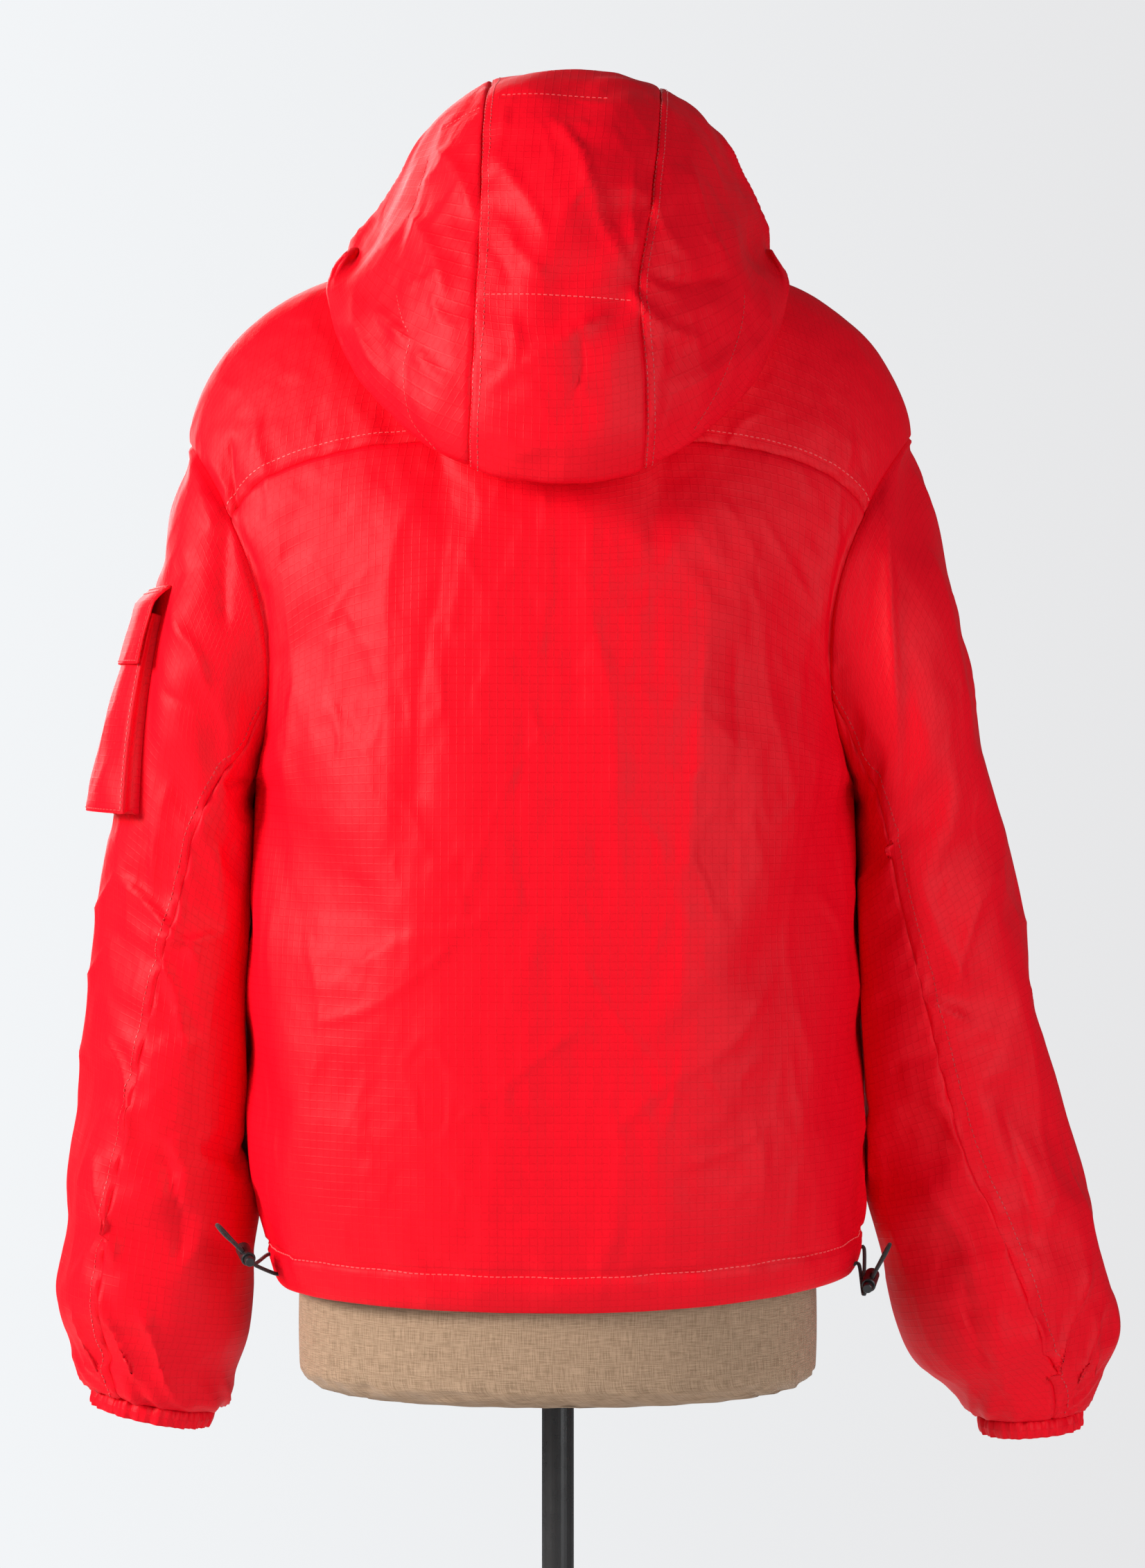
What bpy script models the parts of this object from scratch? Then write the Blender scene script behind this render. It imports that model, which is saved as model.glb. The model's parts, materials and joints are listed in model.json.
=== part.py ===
"""Hooded, lightly padded jacket on a limbless dress form. Metres, +Z up, jacket front to -Y."""

import functools
import math

import bmesh
import bpy
import numpy as np
from mathutils import Matrix, Vector

# Driving dimensions, all in metres. +X is the wearer's left side.
CLOTH = 0.0030          # padded cloth, outer face to inner face
GUSSET_CLOTH = 0.0014   # unpadded pocket cloth
SEAM_GAP = 0.0003       # between neighbouring pieces
SLEEVE_CLEARANCE = 0.0030  # between a hanging sleeve and the body's side
HOOD_CLEARANCE = 0.0090    # between the drooping hood and the shoulders
FRONT_OPENING = 0.0066  # centre front, where the zip lies
ZIP_WIDTH = 0.0058
ZIP_THICK = 0.0022
ZIP_PROUD = 0.0002
ZIP_BOTTOM_Z, ZIP_TOP_Z = 0.7815, 1.362

FORM_BOTTOM_Z = 0.712
POLE_RADIUS = 0.0105
BASE_RADIUS, BASE_THICK = 0.170, 0.010

NECK_SHARE = 0.332             # half width of the neck, as a share of the shoulder's
NECK_SIDE = (-0.010, 1.448)    # y, z where the shoulder seam meets the neck
NECK_BACK = (0.072, 1.432)     # y, z at centre back
NECK_FRONT = (-0.088, 1.374)   # y, z at centre front
SHOULDER_SEAM_TURN = -14.0     # degrees forward of the armhole's top
ARCH_POWER, ARCH_ROUND = 3.6, 0.62   # how the shoulder line drops towards its tip
BODY_SQUARENESS = 2.5

# Armholes: outer top point and inner underarm point (x, z), half depth in y, and how far the
# back and front edges scoop in towards the body.
ARMHOLES = {
    "left": dict(top=(0.2410, 1.3265), under=(0.1965, 1.105), depth=0.076, scoop=0.030),
    "right": dict(top=(0.2315, 1.3315), under=(0.1925, 1.105), depth=0.076, scoop=0.036),
}

# Body rings from the hem to the underarm: height, half widths to each side, half depths.
BODY_RINGS = [
    # z,     left,   right,  back,   front
    (0.7745, 0.1815, 0.1935, 0.1330, 0.1300),
    (0.7880, 0.1850, 0.1965, 0.1360, 0.1330),
    (0.8010, 0.1885, 0.1990, 0.1385, 0.1355),
    (0.8300, 0.1965, 0.2015, 0.1440, 0.1400),
    (0.8700, 0.2020, 0.2015, 0.1460, 0.1420),
    (0.9500, 0.2040, 0.1985, 0.1450, 0.1410),
    (1.0300, 0.2010, 0.1955, 0.1430, 0.1390),
    (1.1050, 0.1965, 0.1925, 0.1400, 0.1360),
]
HEM_RISE = dict(left=0.006, right=0.014)   # how much higher the hem is at each side

# Upper body, underarm to shoulder seam: turn round the armhole; centre height, height half way
# to the armhole and centre depth of the back, then of the front; and how far the row has taken
# on the shoulder line's shape.
UPPER_ROWS = [
    # turn, back z, side z, back y, front z, side z, front y, shoulder
    (180.0, 1.105, 1.105, 0.1400, 1.105, 1.105, -0.1360, 0.00),
    (140.0, 1.165, 1.165, 0.1370, 1.150, 1.151, -0.1330, 0.02),
    (105.0, 1.235, 1.235, 0.1310, 1.205, 1.208, -0.1280, 0.06),
    (78.0, 1.272, 1.274, 0.1255, 1.250, 1.262, -0.1220, 0.14),
    (58.0, 1.302, 1.306, 0.1195, 1.285, 1.308, -0.1150, 0.24),
    (40.0, 1.352, 1.362, 0.1095, 1.315, 1.345, -0.1060, 0.42),
    (20.0, 1.400, 1.418, 0.0930, 1.345, 1.376, -0.0980, 0.66),
    (SHOULDER_SEAM_TURN, NECK_BACK[1], NECK_SIDE[1], NECK_BACK[0],
     NECK_FRONT[1], 1.350, NECK_FRONT[0], 1.00),
]
NECK_DIP_SHARE = 0.5   # how far across the centre heights reach
# Places in UPPER_ROWS where the panels and the armhole seam have their rows.
UPPER_PLACES = (0.25, 0.5, 0.75, 1.0, 1.5, 2.0, 2.5, 3.0, 3.5, 4.0, 5.0, 6.0, 6.5, 7.0)
YOKE_PLACE = 4.0        # the yoke seam
SLEEVE_SEAM_PLACE = 1.5  # where the sleeve's back and front seams meet the armhole

# Sleeve sections: outer point and inner point (x, z), half depth, y of the middle, the turn of
# the back seam from the outer point, and squareness of the section.
SLEEVE_RINGS = {
    "left": [
        # outer x, outer z, inner x, inner z, depth,  y mid,  seam,  square
        (0.2550, 1.2760, 0.1990, 1.0900, 0.0800, -0.001, 128.0, 2.1),
        (0.2640, 1.2300, 0.1960, 1.0750, 0.0800, -0.003, 118.0, 2.2),
        (0.2750, 1.1800, 0.1950, 1.0580, 0.0780, -0.005, 108.0, 2.2),
        (0.2840, 1.1350, 0.1940, 1.0350, 0.0760, -0.008, 98.0, 2.2),
        (0.2925, 1.0800, 0.1930, 1.0000, 0.0740, -0.011, 92.0, 2.2),
        (0.3000, 1.0200, 0.1930, 0.9580, 0.0730, -0.014, 84.0, 2.2),
        (0.3085, 0.9550, 0.1930, 0.9050, 0.0720, -0.017, 76.0, 2.2),
        (0.3170, 0.8900, 0.1950, 0.8500, 0.0710, -0.020, 70.0, 2.2),
        (0.3250, 0.8300, 0.2000, 0.8000, 0.0700, -0.022, 66.0, 2.2),
        (0.3300, 0.7750, 0.2035, 0.7550, 0.0680, -0.024, 64.0, 2.2),
        (0.3270, 0.7330, 0.2060, 0.7180, 0.0620, -0.026, 64.0, 2.2),
        (0.3180, 0.7130, 0.2145, 0.6970, 0.0540, -0.027, 66.0, 2.2),
        (0.3080, 0.7070, 0.2270, 0.6895, 0.0460, -0.027, 68.0, 2.2),
    ],
    "right": [
        (0.2485, 1.2800, 0.1950, 1.0900, 0.0800, -0.001, 136.0, 2.1),
        (0.2600, 1.2360, 0.1930, 1.0750, 0.0810, -0.003, 130.0, 2.2),
        (0.2715, 1.1880, 0.1920, 1.0580, 0.0800, -0.005, 124.0, 2.2),
        (0.2820, 1.1380, 0.1910, 1.0350, 0.0780, -0.008, 118.0, 2.2),
        (0.2925, 1.0850, 0.1900, 1.0000, 0.0760, -0.011, 112.0, 2.2),
        (0.3050, 1.0250, 0.1900, 0.9580, 0.0750, -0.014, 104.0, 2.2),
        (0.3185, 0.9600, 0.1920, 0.9050, 0.0740, -0.017, 98.0, 2.2),
        (0.3335, 0.8950, 0.2000, 0.8500, 0.0730, -0.020, 94.0, 2.2),
        (0.3485, 0.8350, 0.2130, 0.8000, 0.0720, -0.022, 88.0, 2.2),
        (0.3620, 0.7800, 0.2240, 0.7500, 0.0700, -0.024, 82.0, 2.2),
        (0.3705, 0.7350, 0.2400, 0.7130, 0.0640, -0.026, 78.0, 2.2),
        (0.3630, 0.7070, 0.2590, 0.6970, 0.0540, -0.027, 76.0, 2.2),
        (0.3470, 0.6910, 0.2780, 0.6850, 0.0440, -0.027, 74.0, 2.2),
    ],
}
FRONT_SLEEVE_SEAM = 232.0    # degrees, hidden seam at the inner front
CUFF_LENGTH = 0.0105
CUFF_TAPER = 0.0006        # how much smaller the radius is at the cuff's lower edge

# Hood sections from the neck seam over the drooping back and the crown to the top of the face
# edge: y and z of the middle, of the back point and of the face edge, half widths, half
# opening in degrees, and the half width of the centre panel to each side.
HOOD_RINGS = [
    # mid y, mid z,  back y, back z, face y,  face z, left,   right,  open,  pan l,  pan r
    (-0.0100, 1.4490, 0.0720, 1.4330, -0.0880, 1.3750, 0.0795, 0.0795, 177.5, 0.0480, 0.0480),
    (0.0000, 1.4550, 0.1010, 1.3960, -0.0980, 1.3850, 0.1040, 0.1020, 174.0, 0.0500, 0.0500),
    (0.0180, 1.4460, 0.1270, 1.3240, -0.1060, 1.3990, 0.1320, 0.1310, 166.0, 0.0530, 0.0520),
    (0.0300, 1.4400, 0.1420, 1.2960, -0.1130, 1.4120, 0.1430, 0.1430, 156.0, 0.0545, 0.0530),
    (0.0360, 1.4380, 0.1590, 1.2910, -0.1180, 1.4260, 0.1480, 0.1490, 147.0, 0.0550, 0.0540),
    (0.0320, 1.4460, 0.1720, 1.3100, -0.1210, 1.4410, 0.1460, 0.1490, 139.0, 0.0545, 0.0545),
    (0.0180, 1.4570, 0.1770, 1.3480, -0.1230, 1.4560, 0.1390, 0.1440, 132.0, 0.0530, 0.0540),
    (0.0020, 1.4700, 0.1720, 1.3980, -0.1240, 1.4720, 0.1260, 0.1370, 126.0, 0.0510, 0.0500),
    (-0.0080, 1.4850, 0.1600, 1.4480, -0.1240, 1.4890, 0.1120, 0.1300, 121.0, 0.0490, 0.0560),
    (-0.0150, 1.5020, 0.1420, 1.4950, -0.1230, 1.5060, 0.1000, 0.1210, 117.0, 0.0470, 0.0620),
    (-0.0250, 1.5240, 0.1100, 1.5340, -0.1220, 1.5210, 0.0920, 0.1130, 113.0, 0.0450, 0.0650),
    (-0.0450, 1.5360, 0.0560, 1.5620, -0.1210, 1.5310, 0.0830, 0.1030, 109.0, 0.0430, 0.0670),
    (-0.0700, 1.5410, -0.0120, 1.5695, -0.1210, 1.5370, 0.0770, 0.0950, 105.0, 0.0420, 0.0660),
    (-0.0950, 1.5410, -0.0720, 1.5650, -0.1210, 1.5400, 0.0730, 0.0890, 100.0, 0.0410, 0.0650),
    (-0.1160, 1.5390, -0.1130, 1.5580, -0.1220, 1.5390, 0.0700, 0.0850, 94.0, 0.0400, 0.0630),
]

# Sleeve pocket, on the outer side of the left sleeve: heights, half width, how far it stands off.
POCKET_TOP_Z, POCKET_BOTTOM_Z = 1.2130, 1.0850
POCKET_HALF_WIDTH = 0.0580
POCKET_Y = -0.0040           # its middle
POCKET_EDGE_DROP = 0.25      # how much closer its side edges lie, as a share of its stand-off
GUSSET_FOOT = 0.0009         # from the sleeve to the bellows strip
FLAP_RISE_SHARE = 0.24       # part of the flap that climbs from the sleeve onto the pocket
POCKET_STAND_TOP, POCKET_STAND_BOTTOM = 0.0080, 0.0180
FLAP_TOP_Z, FLAP_BOTTOM_Z = 1.2320, 1.1800
FLAP_HALF_WIDTH = 0.0610

# Dress form sections: height, half width, half depth, y of the middle.
FORM_RINGS = [
    # z,     width,  depth,  y
    (FORM_BOTTOM_Z, 0.1480, 0.1060, 0.004),
    (0.7145, 0.1580, 0.1140, 0.004),
    (0.7210, 0.1660, 0.1200, 0.004),
    (0.7320, 0.1690, 0.1220, 0.004),
    (0.7800, 0.1690, 0.1220, 0.004),
    (0.8600, 0.1650, 0.1200, 0.003),
    (0.9400, 0.1450, 0.1060, 0.000),
    (1.0200, 0.1280, 0.0940, -0.003),
    (1.1000, 0.1420, 0.1010, -0.006),
    (1.1900, 0.1600, 0.1080, -0.008),
    (1.2700, 0.1580, 0.0980, -0.004),
    (1.3174, 0.1530, 0.0820, 0.001),
    (1.3624, 0.1440, 0.0660, 0.004),
    (1.3904, 0.1300, 0.0459, 0.006),
    (1.4094, 0.1070, 0.0408, 0.006),   # the shoulders, which carry the jacket
    (1.4244, 0.0921, 0.0383, 0.005),
    (1.4359, 0.0781, 0.0374, 0.003),
    (1.4434, 0.0614, 0.0460, -0.003),
    (1.4534, 0.0549, 0.0475, -0.008),
    (1.4874, 0.0521, 0.0480, -0.010),
]
FORM_SQUARENESS = 2.2
NECK_CAP_HEIGHT = 0.010

# Cord lock: a barrel with a spring button in it, and one cord that passes through both twice.
CORD_RADIUS = 0.00125
CORD_POINTS = 34
LOCK_RADIUS, LOCK_BORE, LOCK_LENGTH = 0.0047, 0.0035, 0.0170
LOCK_FLOOR = 0.0020            # closed end of the barrel
HOLE_DEPTH = 0.0065            # cord's hole, from the barrel's open end
BUTTON_RADIUS, BUTTON_OUT, BUTTON_IN = 0.0032, 0.0048, 0.0120
BUTTON_TRAVEL = 0.0028
CORD_PITCH = 0.0029            # between the two strands, along the barrel
HOLE_SLACK = 0.0005            # round the two strands
LOCKS = {
    # centre of the cord's hole, the way the button points, and the way the strands cross
    "left": dict(at=(0.1990, 0.0670, 0.8030), axis=(-0.30, 0.90, -0.30), across=(0.66, 0.05, 0.75)),
    "right": dict(at=(-0.2000, 0.0640, 0.7860), axis=(0.22, 0.90, -0.32), across=(-0.45, 0.05, 0.89)),
}
# Where each cord leaves the body's side at the hem: y and z of its two ends.
CORD_ENDS = {
    "left": ((0.0520, 0.7895), (0.0300, 0.7990)),
    "right": ((0.0480, 0.7945), (0.0260, 0.8020)),
}
CORD_END_GAP = 0.0010
TAIL_LENGTH, TAIL_HALF_WIDTH = 0.0190, 0.0052

SLIDER_Z = 1.338
SLIDER = dict(width=0.0104, height=0.0116, thick=0.0030)
BRIDGE = dict(width=0.0018, height=0.0074, reach=0.0034, bar=0.0010)
PULL = dict(length=0.0290, width=0.0062, thick=0.0012, top=0.0010, eye_width=0.0032, eye_height=0.0046)

ZIP_COLOUR = (0.10, 0.004, 0.006)
RED = (0.72, 0.004, 0.018)

COLLECTION = "puffer_jacket"


def clear_scene():
    for found in list(bpy.data.objects):
        bpy.data.objects.remove(found)


def collection(name):
    made = bpy.data.collections.new(name)
    bpy.context.scene.collection.children.link(made)
    return made


def material(name, colour, roughness, metallic=0.0):
    made = bpy.data.materials.new(name)
    made.use_nodes = True
    shader = made.node_tree.nodes["Principled BSDF"]
    shader.inputs["Base Color"].default_value = (*colour, 1.0)
    shader.inputs["Roughness"].default_value = roughness
    shader.inputs["Metallic"].default_value = metallic
    return made


def unit(vector):
    vector = np.asarray(vector, float)
    return vector / np.linalg.norm(vector)


def signed_power(value, power):
    return math.copysign(abs(value) ** power, value)


def table_at(rows, place):
    """Smoothly read a table of rows at a row number that need not be whole."""
    rows = np.asarray(rows, float)
    last = len(rows) - 1
    place = min(max(place, 0.0), float(last))
    first = min(int(place), last - 1)
    share = place - first
    before, after = rows[max(first - 1, 0)], rows[min(first + 2, last)]
    here, there = rows[first], rows[first + 1]
    slope_here, slope_there = (there - before) / 2, (after - here) / 2
    cubic = (
        (2 * share**3 - 3 * share**2 + 1) * here
        + (share**3 - 2 * share**2 + share) * slope_here
        + (3 * share**2 - 2 * share**3) * there
        + (share**3 - share**2) * slope_there
    )
    return cubic


# ---- surfaces of the garment ------------------------------------------------------------


def armhole_point(side, turn):
    """A point of the armhole seam: turn 0 is its top, 90 the back, 180 the underarm, 270 the front."""
    hole = ARMHOLES[side]
    angle = math.radians(turn)
    top, under = np.array(hole["top"]), np.array(hole["under"])
    middle, reach = (top + under) / 2, (top - under) / 2
    x, z = middle + reach * math.cos(angle)
    x -= hole["scoop"] * math.sin(angle) ** 2
    sign = 1 if side == "left" else -1
    return np.array([sign * x, hole["depth"] * math.sin(angle), z])


def lower_body(place, across, back):
    """Ring `place` of the lower body; across runs from -1, the right side, to 1, the left."""
    z, left, right, deep_back, deep_front = table_at(BODY_RINGS, place)
    half = left if across > 0 else right
    depth = (1 - abs(across) ** BODY_SQUARENESS) ** (1 / BODY_SQUARENESS)
    hem_share = max(0.0, 1 - place / 4)
    rise = HEM_RISE["left"] if across > 0 else HEM_RISE["right"]
    z += rise * hem_share * across**2
    y = deep_back * depth if back else -deep_front * depth
    return np.array([half * across, y, z])


def upper_body(place, across, back):
    """Row `place` of the upper body, from the underarm to the shoulder seam."""
    row = table_at(UPPER_ROWS, place)
    shoulder = row[7]
    side = "left" if across > 0 else "right"
    edge = armhole_point(side, edge_turn(place, back))
    centre_z, side_z, centre_y = row[1:4] if back else row[4:7]
    ratio = abs(across)
    x = edge[0] * ratio
    depth_low = (1 - ratio**BODY_SQUARENESS) ** (1 / BODY_SQUARENESS)
    y_low = centre_y * depth_low + edge[1] * (1 - depth_low) ** 2
    arch = (1 - ratio**ARCH_POWER) ** ARCH_ROUND
    dip = max(0.0, 1 - (ratio / NECK_DIP_SHARE) ** 2) ** 2
    z_low = edge[2] + (side_z - edge[2]) * arch + (centre_z - side_z) * dip
    # The shoulder line runs straight to the neck's side, then round the neck.
    neck = max(0.0, 1 - (ratio / NECK_SHARE) ** 2) ** 0.5
    y_high = edge[1] + (NECK_SIDE[0] - edge[1]) * arch
    y_high += (centre_y - NECK_SIDE[0]) * neck
    z_high = edge[2] + (NECK_SIDE[1] - edge[2]) * arch + (centre_z - NECK_SIDE[1]) * neck
    share = shoulder ** (1.5 if back else 1.8)
    return np.array([x, y_low + (y_high - y_low) * share, z_low + (z_high - z_low) * share])


def edge_turn(place, back):
    """Where round the armhole a row of the upper body ends."""
    turn = table_at(UPPER_ROWS, place)[0]
    if back:
        return turn
    start = -SHOULDER_SEAM_TURN
    return -(start + (turn + start) * (180 - start) / (180 + start))


LOWER_ROWS = len(BODY_RINGS) - 1
BODY_PLACES = [*range(LOWER_ROWS + 1), *(LOWER_ROWS + place for place in UPPER_PLACES)]


def body_surface(row, across, back):
    if row <= LOWER_ROWS:
        return lower_body(row, across, back)
    return upper_body(row - LOWER_ROWS, across, back)


def body_side_x(side, y, z):
    """How far out the faceted body's side reaches at this y and z."""
    line = []
    for across in body_columns():
        if (across > 0) == (side == "left") and across:
            points = np.array([lower_body(row, across, y > 0) for row in range(LOWER_ROWS + 1)])
            line.append([abs(np.interp(z, points[:, 2], points[:, k])) for k in (0, 1)])
    line = np.array(sorted(line, key=lambda point: point[1]))
    return float(np.interp(abs(y), line[:, 1], line[:, 0]))


def sleeve_surface(side, ring, turn):
    """Ring 0 is the armhole seam, the last is the top of the cuff."""
    angle = math.radians(turn)
    if ring <= 0:
        return armhole_point(side, turn)
    rows = SLEEVE_RINGS[side]
    sign = 1 if side == "left" else -1
    first = rows[0]
    hole = ARMHOLES[side]
    seam_row = (*hole["top"], *hole["under"], hole["depth"], 0.0, first[6], 2.0)
    out_x, out_z, in_x, in_z, depth, y_mid, _, square = table_at([seam_row, *rows], ring)
    along = signed_power(math.cos(angle), 2 / square)
    x = (out_x + in_x) / 2 + (out_x - in_x) / 2 * along
    z = (out_z + in_z) / 2 + (out_z - in_z) / 2 * along
    x -= hole["scoop"] * math.sin(angle) ** 2 * max(0.0, 1 - ring / 2.2) ** 1.5
    y = y_mid + depth * signed_power(math.sin(angle), 2 / square)
    away = SLEEVE_CLEARANCE * min(1.0, ring)
    if z < hole["under"][1]:
        x = max(x, body_side_x(side, y, z) + away)
    elif z < hole["top"][1]:
        middle_z = (hole["top"][1] + hole["under"][1]) / 2
        reach_z = (hole["top"][1] - hole["under"][1]) / 2
        level = math.degrees(math.acos(np.clip((z - middle_z) / reach_z, -1, 1)))
        x = max(x, sign * armhole_point(side, level)[0] + away)
    return np.array([sign * x, y, z])


def neck_point(turn):
    """On the neck edge, whose corners are where the body's columns meet it."""
    step = 180 / NECK_COLUMNS
    low = math.floor(turn / step)
    ends = []
    for corner in (low, low + 1):
        across = NECK_SHARE * math.sin(math.radians(corner * step))
        ends.append(upper_body(len(UPPER_ROWS) - 1, across, abs(corner) * 2 <= NECK_COLUMNS))
    share = turn / step - low
    return ends[0] * (1 - share) + ends[1] * share


def hood_surface(ring, turn):
    """turn 0 is centre back, +90 the left side, -90 the right side."""
    if ring <= 0:
        return neck_point(turn)
    row = table_at(HOOD_RINGS, ring)
    mid_y, mid_z, back_y, back_z, face_y, face_z, left, right, opening = row[:9]
    angle = math.radians(turn)
    along, out = math.cos(angle), math.sin(angle)
    end_y, end_z = back_y, back_z
    if along < 0:
        end_y, end_z = face_y, face_z
        along /= math.cos(math.radians(opening))
    half = left if out > 0 else right
    x = half * out
    y = mid_y + (end_y - mid_y) * abs(along)
    z = mid_z + (end_z - mid_z) * abs(along)
    return np.array([x, y, z])


def height_clear_of_shoulder(x, y, clearance):
    """Lowest height that is this far from the shoulder in every direction."""
    heights = [shoulder_height(x, y) + clearance]
    for angle in np.radians(np.arange(0, 360, 45)):
        for share in (0.5, 0.86, 1.0):
            near = shoulder_height(x + share * clearance * math.cos(angle),
                                   y + share * clearance * math.sin(angle))
            heights.append(near + clearance * (1 - share**2) ** 0.5)
    return max(heights)


def shoulder_height(x, y):
    """Height of the upper body's outer face above this point, or 0 outside it."""
    heights = []
    for back in (True, False):
        track = upper_track(round(x, 3), back)
        if len(track) > 1:
            order = np.argsort(track[:, 0])
            heights.append(np.interp(y, track[order, 0], track[order, 1], left=0.0, right=0.0))
    return max(heights, default=0.0)


@functools.lru_cache(maxsize=None)
def upper_track(x, back):
    """y and z of the upper body where a plane at this x cuts it."""
    track = []
    for row in np.linspace(1, len(UPPER_ROWS) - 1, 25):
        edge = abs(upper_body(row, 1.0 if x > 0 else -1.0, back)[0])
        if abs(x) < edge:
            point = upper_body(row, x / edge, back)
            track.append((point[1], point[2]))
    return np.array(track)


# ---- closed cloth walls -----------------------------------------------------------------


def grid_normals(points):
    """Unit normals of a grid of points, from neighbours along both of its directions."""
    along = np.gradient(points, axis=0)
    across = np.gradient(points, axis=1)
    normals = np.cross(across, along)
    lengths = np.linalg.norm(normals, axis=2, keepdims=True)
    return normals / np.maximum(lengths, 1e-12)


def rim_rank(vert):
    return vert.co.z + 0.37 * vert.co.y + 0.21 * abs(vert.co.x)


def wall(name, outer, inner, finish, parts):
    """A closed solid between two grids of points that have the same rows and columns."""
    rows, columns = outer.shape[:2]
    shape = bmesh.new()
    faces_of = [[[shape.verts.new(p) for p in row] for row in grid] for grid in (outer, inner)]
    near, far = faces_of
    for i in range(rows - 1):
        for j in range(columns - 1):
            shape.faces.new((near[i][j], near[i][j + 1], near[i + 1][j + 1], near[i + 1][j]))
            shape.faces.new((far[i][j], far[i + 1][j], far[i + 1][j + 1], far[i][j + 1]))
    rim = [(0, j) for j in range(columns)]
    rim += [(i, columns - 1) for i in range(1, rows)]
    rim += [(rows - 1, j) for j in range(columns - 2, -1, -1)]
    rim += [(i, 0) for i in range(rows - 2, 0, -1)]
    for (i, j), (k, l) in zip(rim, rim[1:] + rim[:1]):
        ends = [near[i][j], far[i][j], far[k][l], near[k][l]]
        # Neighbours split their facing edges along the same diagonal.
        if rim_rank(ends[0]) > rim_rank(ends[3]):
            shape.faces.new((ends[0], ends[1], ends[2]))
            shape.faces.new((ends[0], ends[2], ends[3]))
        else:
            shape.faces.new((ends[0], ends[1], ends[3]))
            shape.faces.new((ends[1], ends[2], ends[3]))
    bmesh.ops.recalc_face_normals(shape, faces=shape.faces)
    return finish_mesh(name, shape, finish, parts)


def finish_mesh(name, shape, finish, parts, smooth=True):
    mesh = bpy.data.meshes.new(name)
    shape.to_mesh(mesh)
    shape.free()
    made = bpy.data.objects.new(name, mesh)
    made.data.materials.append(finish)
    if smooth:
        mesh.shade_smooth()
        mesh.set_sharp_from_angle(angle=math.radians(40))
    parts.objects.link(made)
    return made


def shrink_edges(outer, inner, edges):
    """Draw the named edges of a wall in by half a seam gap: low, high rows and first, last columns."""
    grids = []
    for grid in (outer, inner):
        grid = grid.copy()
        for edge in edges:
            if edge == "low":
                step = unit_rows(grid[1] - grid[0])
                grid[0] += step * SEAM_GAP / 2
            elif edge == "high":
                step = unit_rows(grid[-2] - grid[-1])
                grid[-1] += step * SEAM_GAP / 2
            elif edge == "first":
                step = unit_rows(grid[:, 1] - grid[:, 0])
                grid[:, 0] += step * SEAM_GAP / 2
            elif edge == "last":
                step = unit_rows(grid[:, -2] - grid[:, -1])
                grid[:, -1] += step * SEAM_GAP / 2
        grids.append(grid)
    return grids


def unit_rows(vectors):
    return vectors / np.maximum(np.linalg.norm(vectors, axis=-1, keepdims=True), 1e-12)


# ---- body -------------------------------------------------------------------------------

NECK_COLUMNS, SIDE_COLUMNS = 8, 5


def body_columns():
    """Where the body's columns lie across it, closest at the sides and round the neck."""
    side = [
        NECK_SHARE + (1 - NECK_SHARE) * math.sin(math.pi / 2 * (1 - i / SIDE_COLUMNS))
        for i in range(SIDE_COLUMNS)
    ]
    neck = [NECK_SHARE * math.cos(math.pi * i / NECK_COLUMNS) for i in range(NECK_COLUMNS + 1)]
    return side + neck + [-value for value in reversed(side)]


def armhole_inward(turn, sign):
    """The direction through the cloth's edge all round an armhole, shared by body and sleeve."""
    angle = math.radians(turn)
    outward = max(math.cos(angle), 0.0)
    return unit([-sign * 0.75 * outward, -math.sin(angle), -0.66 * math.cos(angle)])


def neck_inward(x, y):
    return unit([-x, -(y + 0.01), -0.03])


def body_grids(back):
    """Outer and inner grids of the whole back or front; rows from hem to shoulder seam."""
    columns = body_columns()
    rows = BODY_PLACES
    outer = np.array([[body_surface(row, across, back) for across in columns] for row in rows])
    normals = grid_normals(outer)
    if np.mean(normals[:LOWER_ROWS, len(columns) // 2, 1]) * (1 if back else -1) < 0:
        normals = -normals
    # Sides below the underarm share one direction with the other half of the body.
    for row in range(LOWER_ROWS + 1):
        normals[row, 0], normals[row, -1] = (1, 0, 0), (-1, 0, 0)
    inner = outer - CLOTH * normals
    top = len(rows) - 1
    for row in range(LOWER_ROWS, len(rows)):
        turn = edge_turn(rows[row] - LOWER_ROWS, back)
        inner[row, 0] = outer[row, 0] + CLOTH * armhole_inward(turn, 1)
        inner[row, -1] = outer[row, -1] + CLOTH * armhole_inward(turn, -1)
    # The shoulder seam and the neck edge share one direction with the other half and the hood.
    for j in range(1, len(columns) - 1):
        x, y, _ = outer[top, j]
        if abs(columns[j]) <= NECK_SHARE * 1.001:
            inner[top, j] = outer[top, j] + CLOTH * neck_inward(x, y)
        else:
            inner[top, j] = outer[top, j] + CLOTH * unit([-0.35 * x / abs(x), 0.0, -1.0])
    return outer, inner


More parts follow.
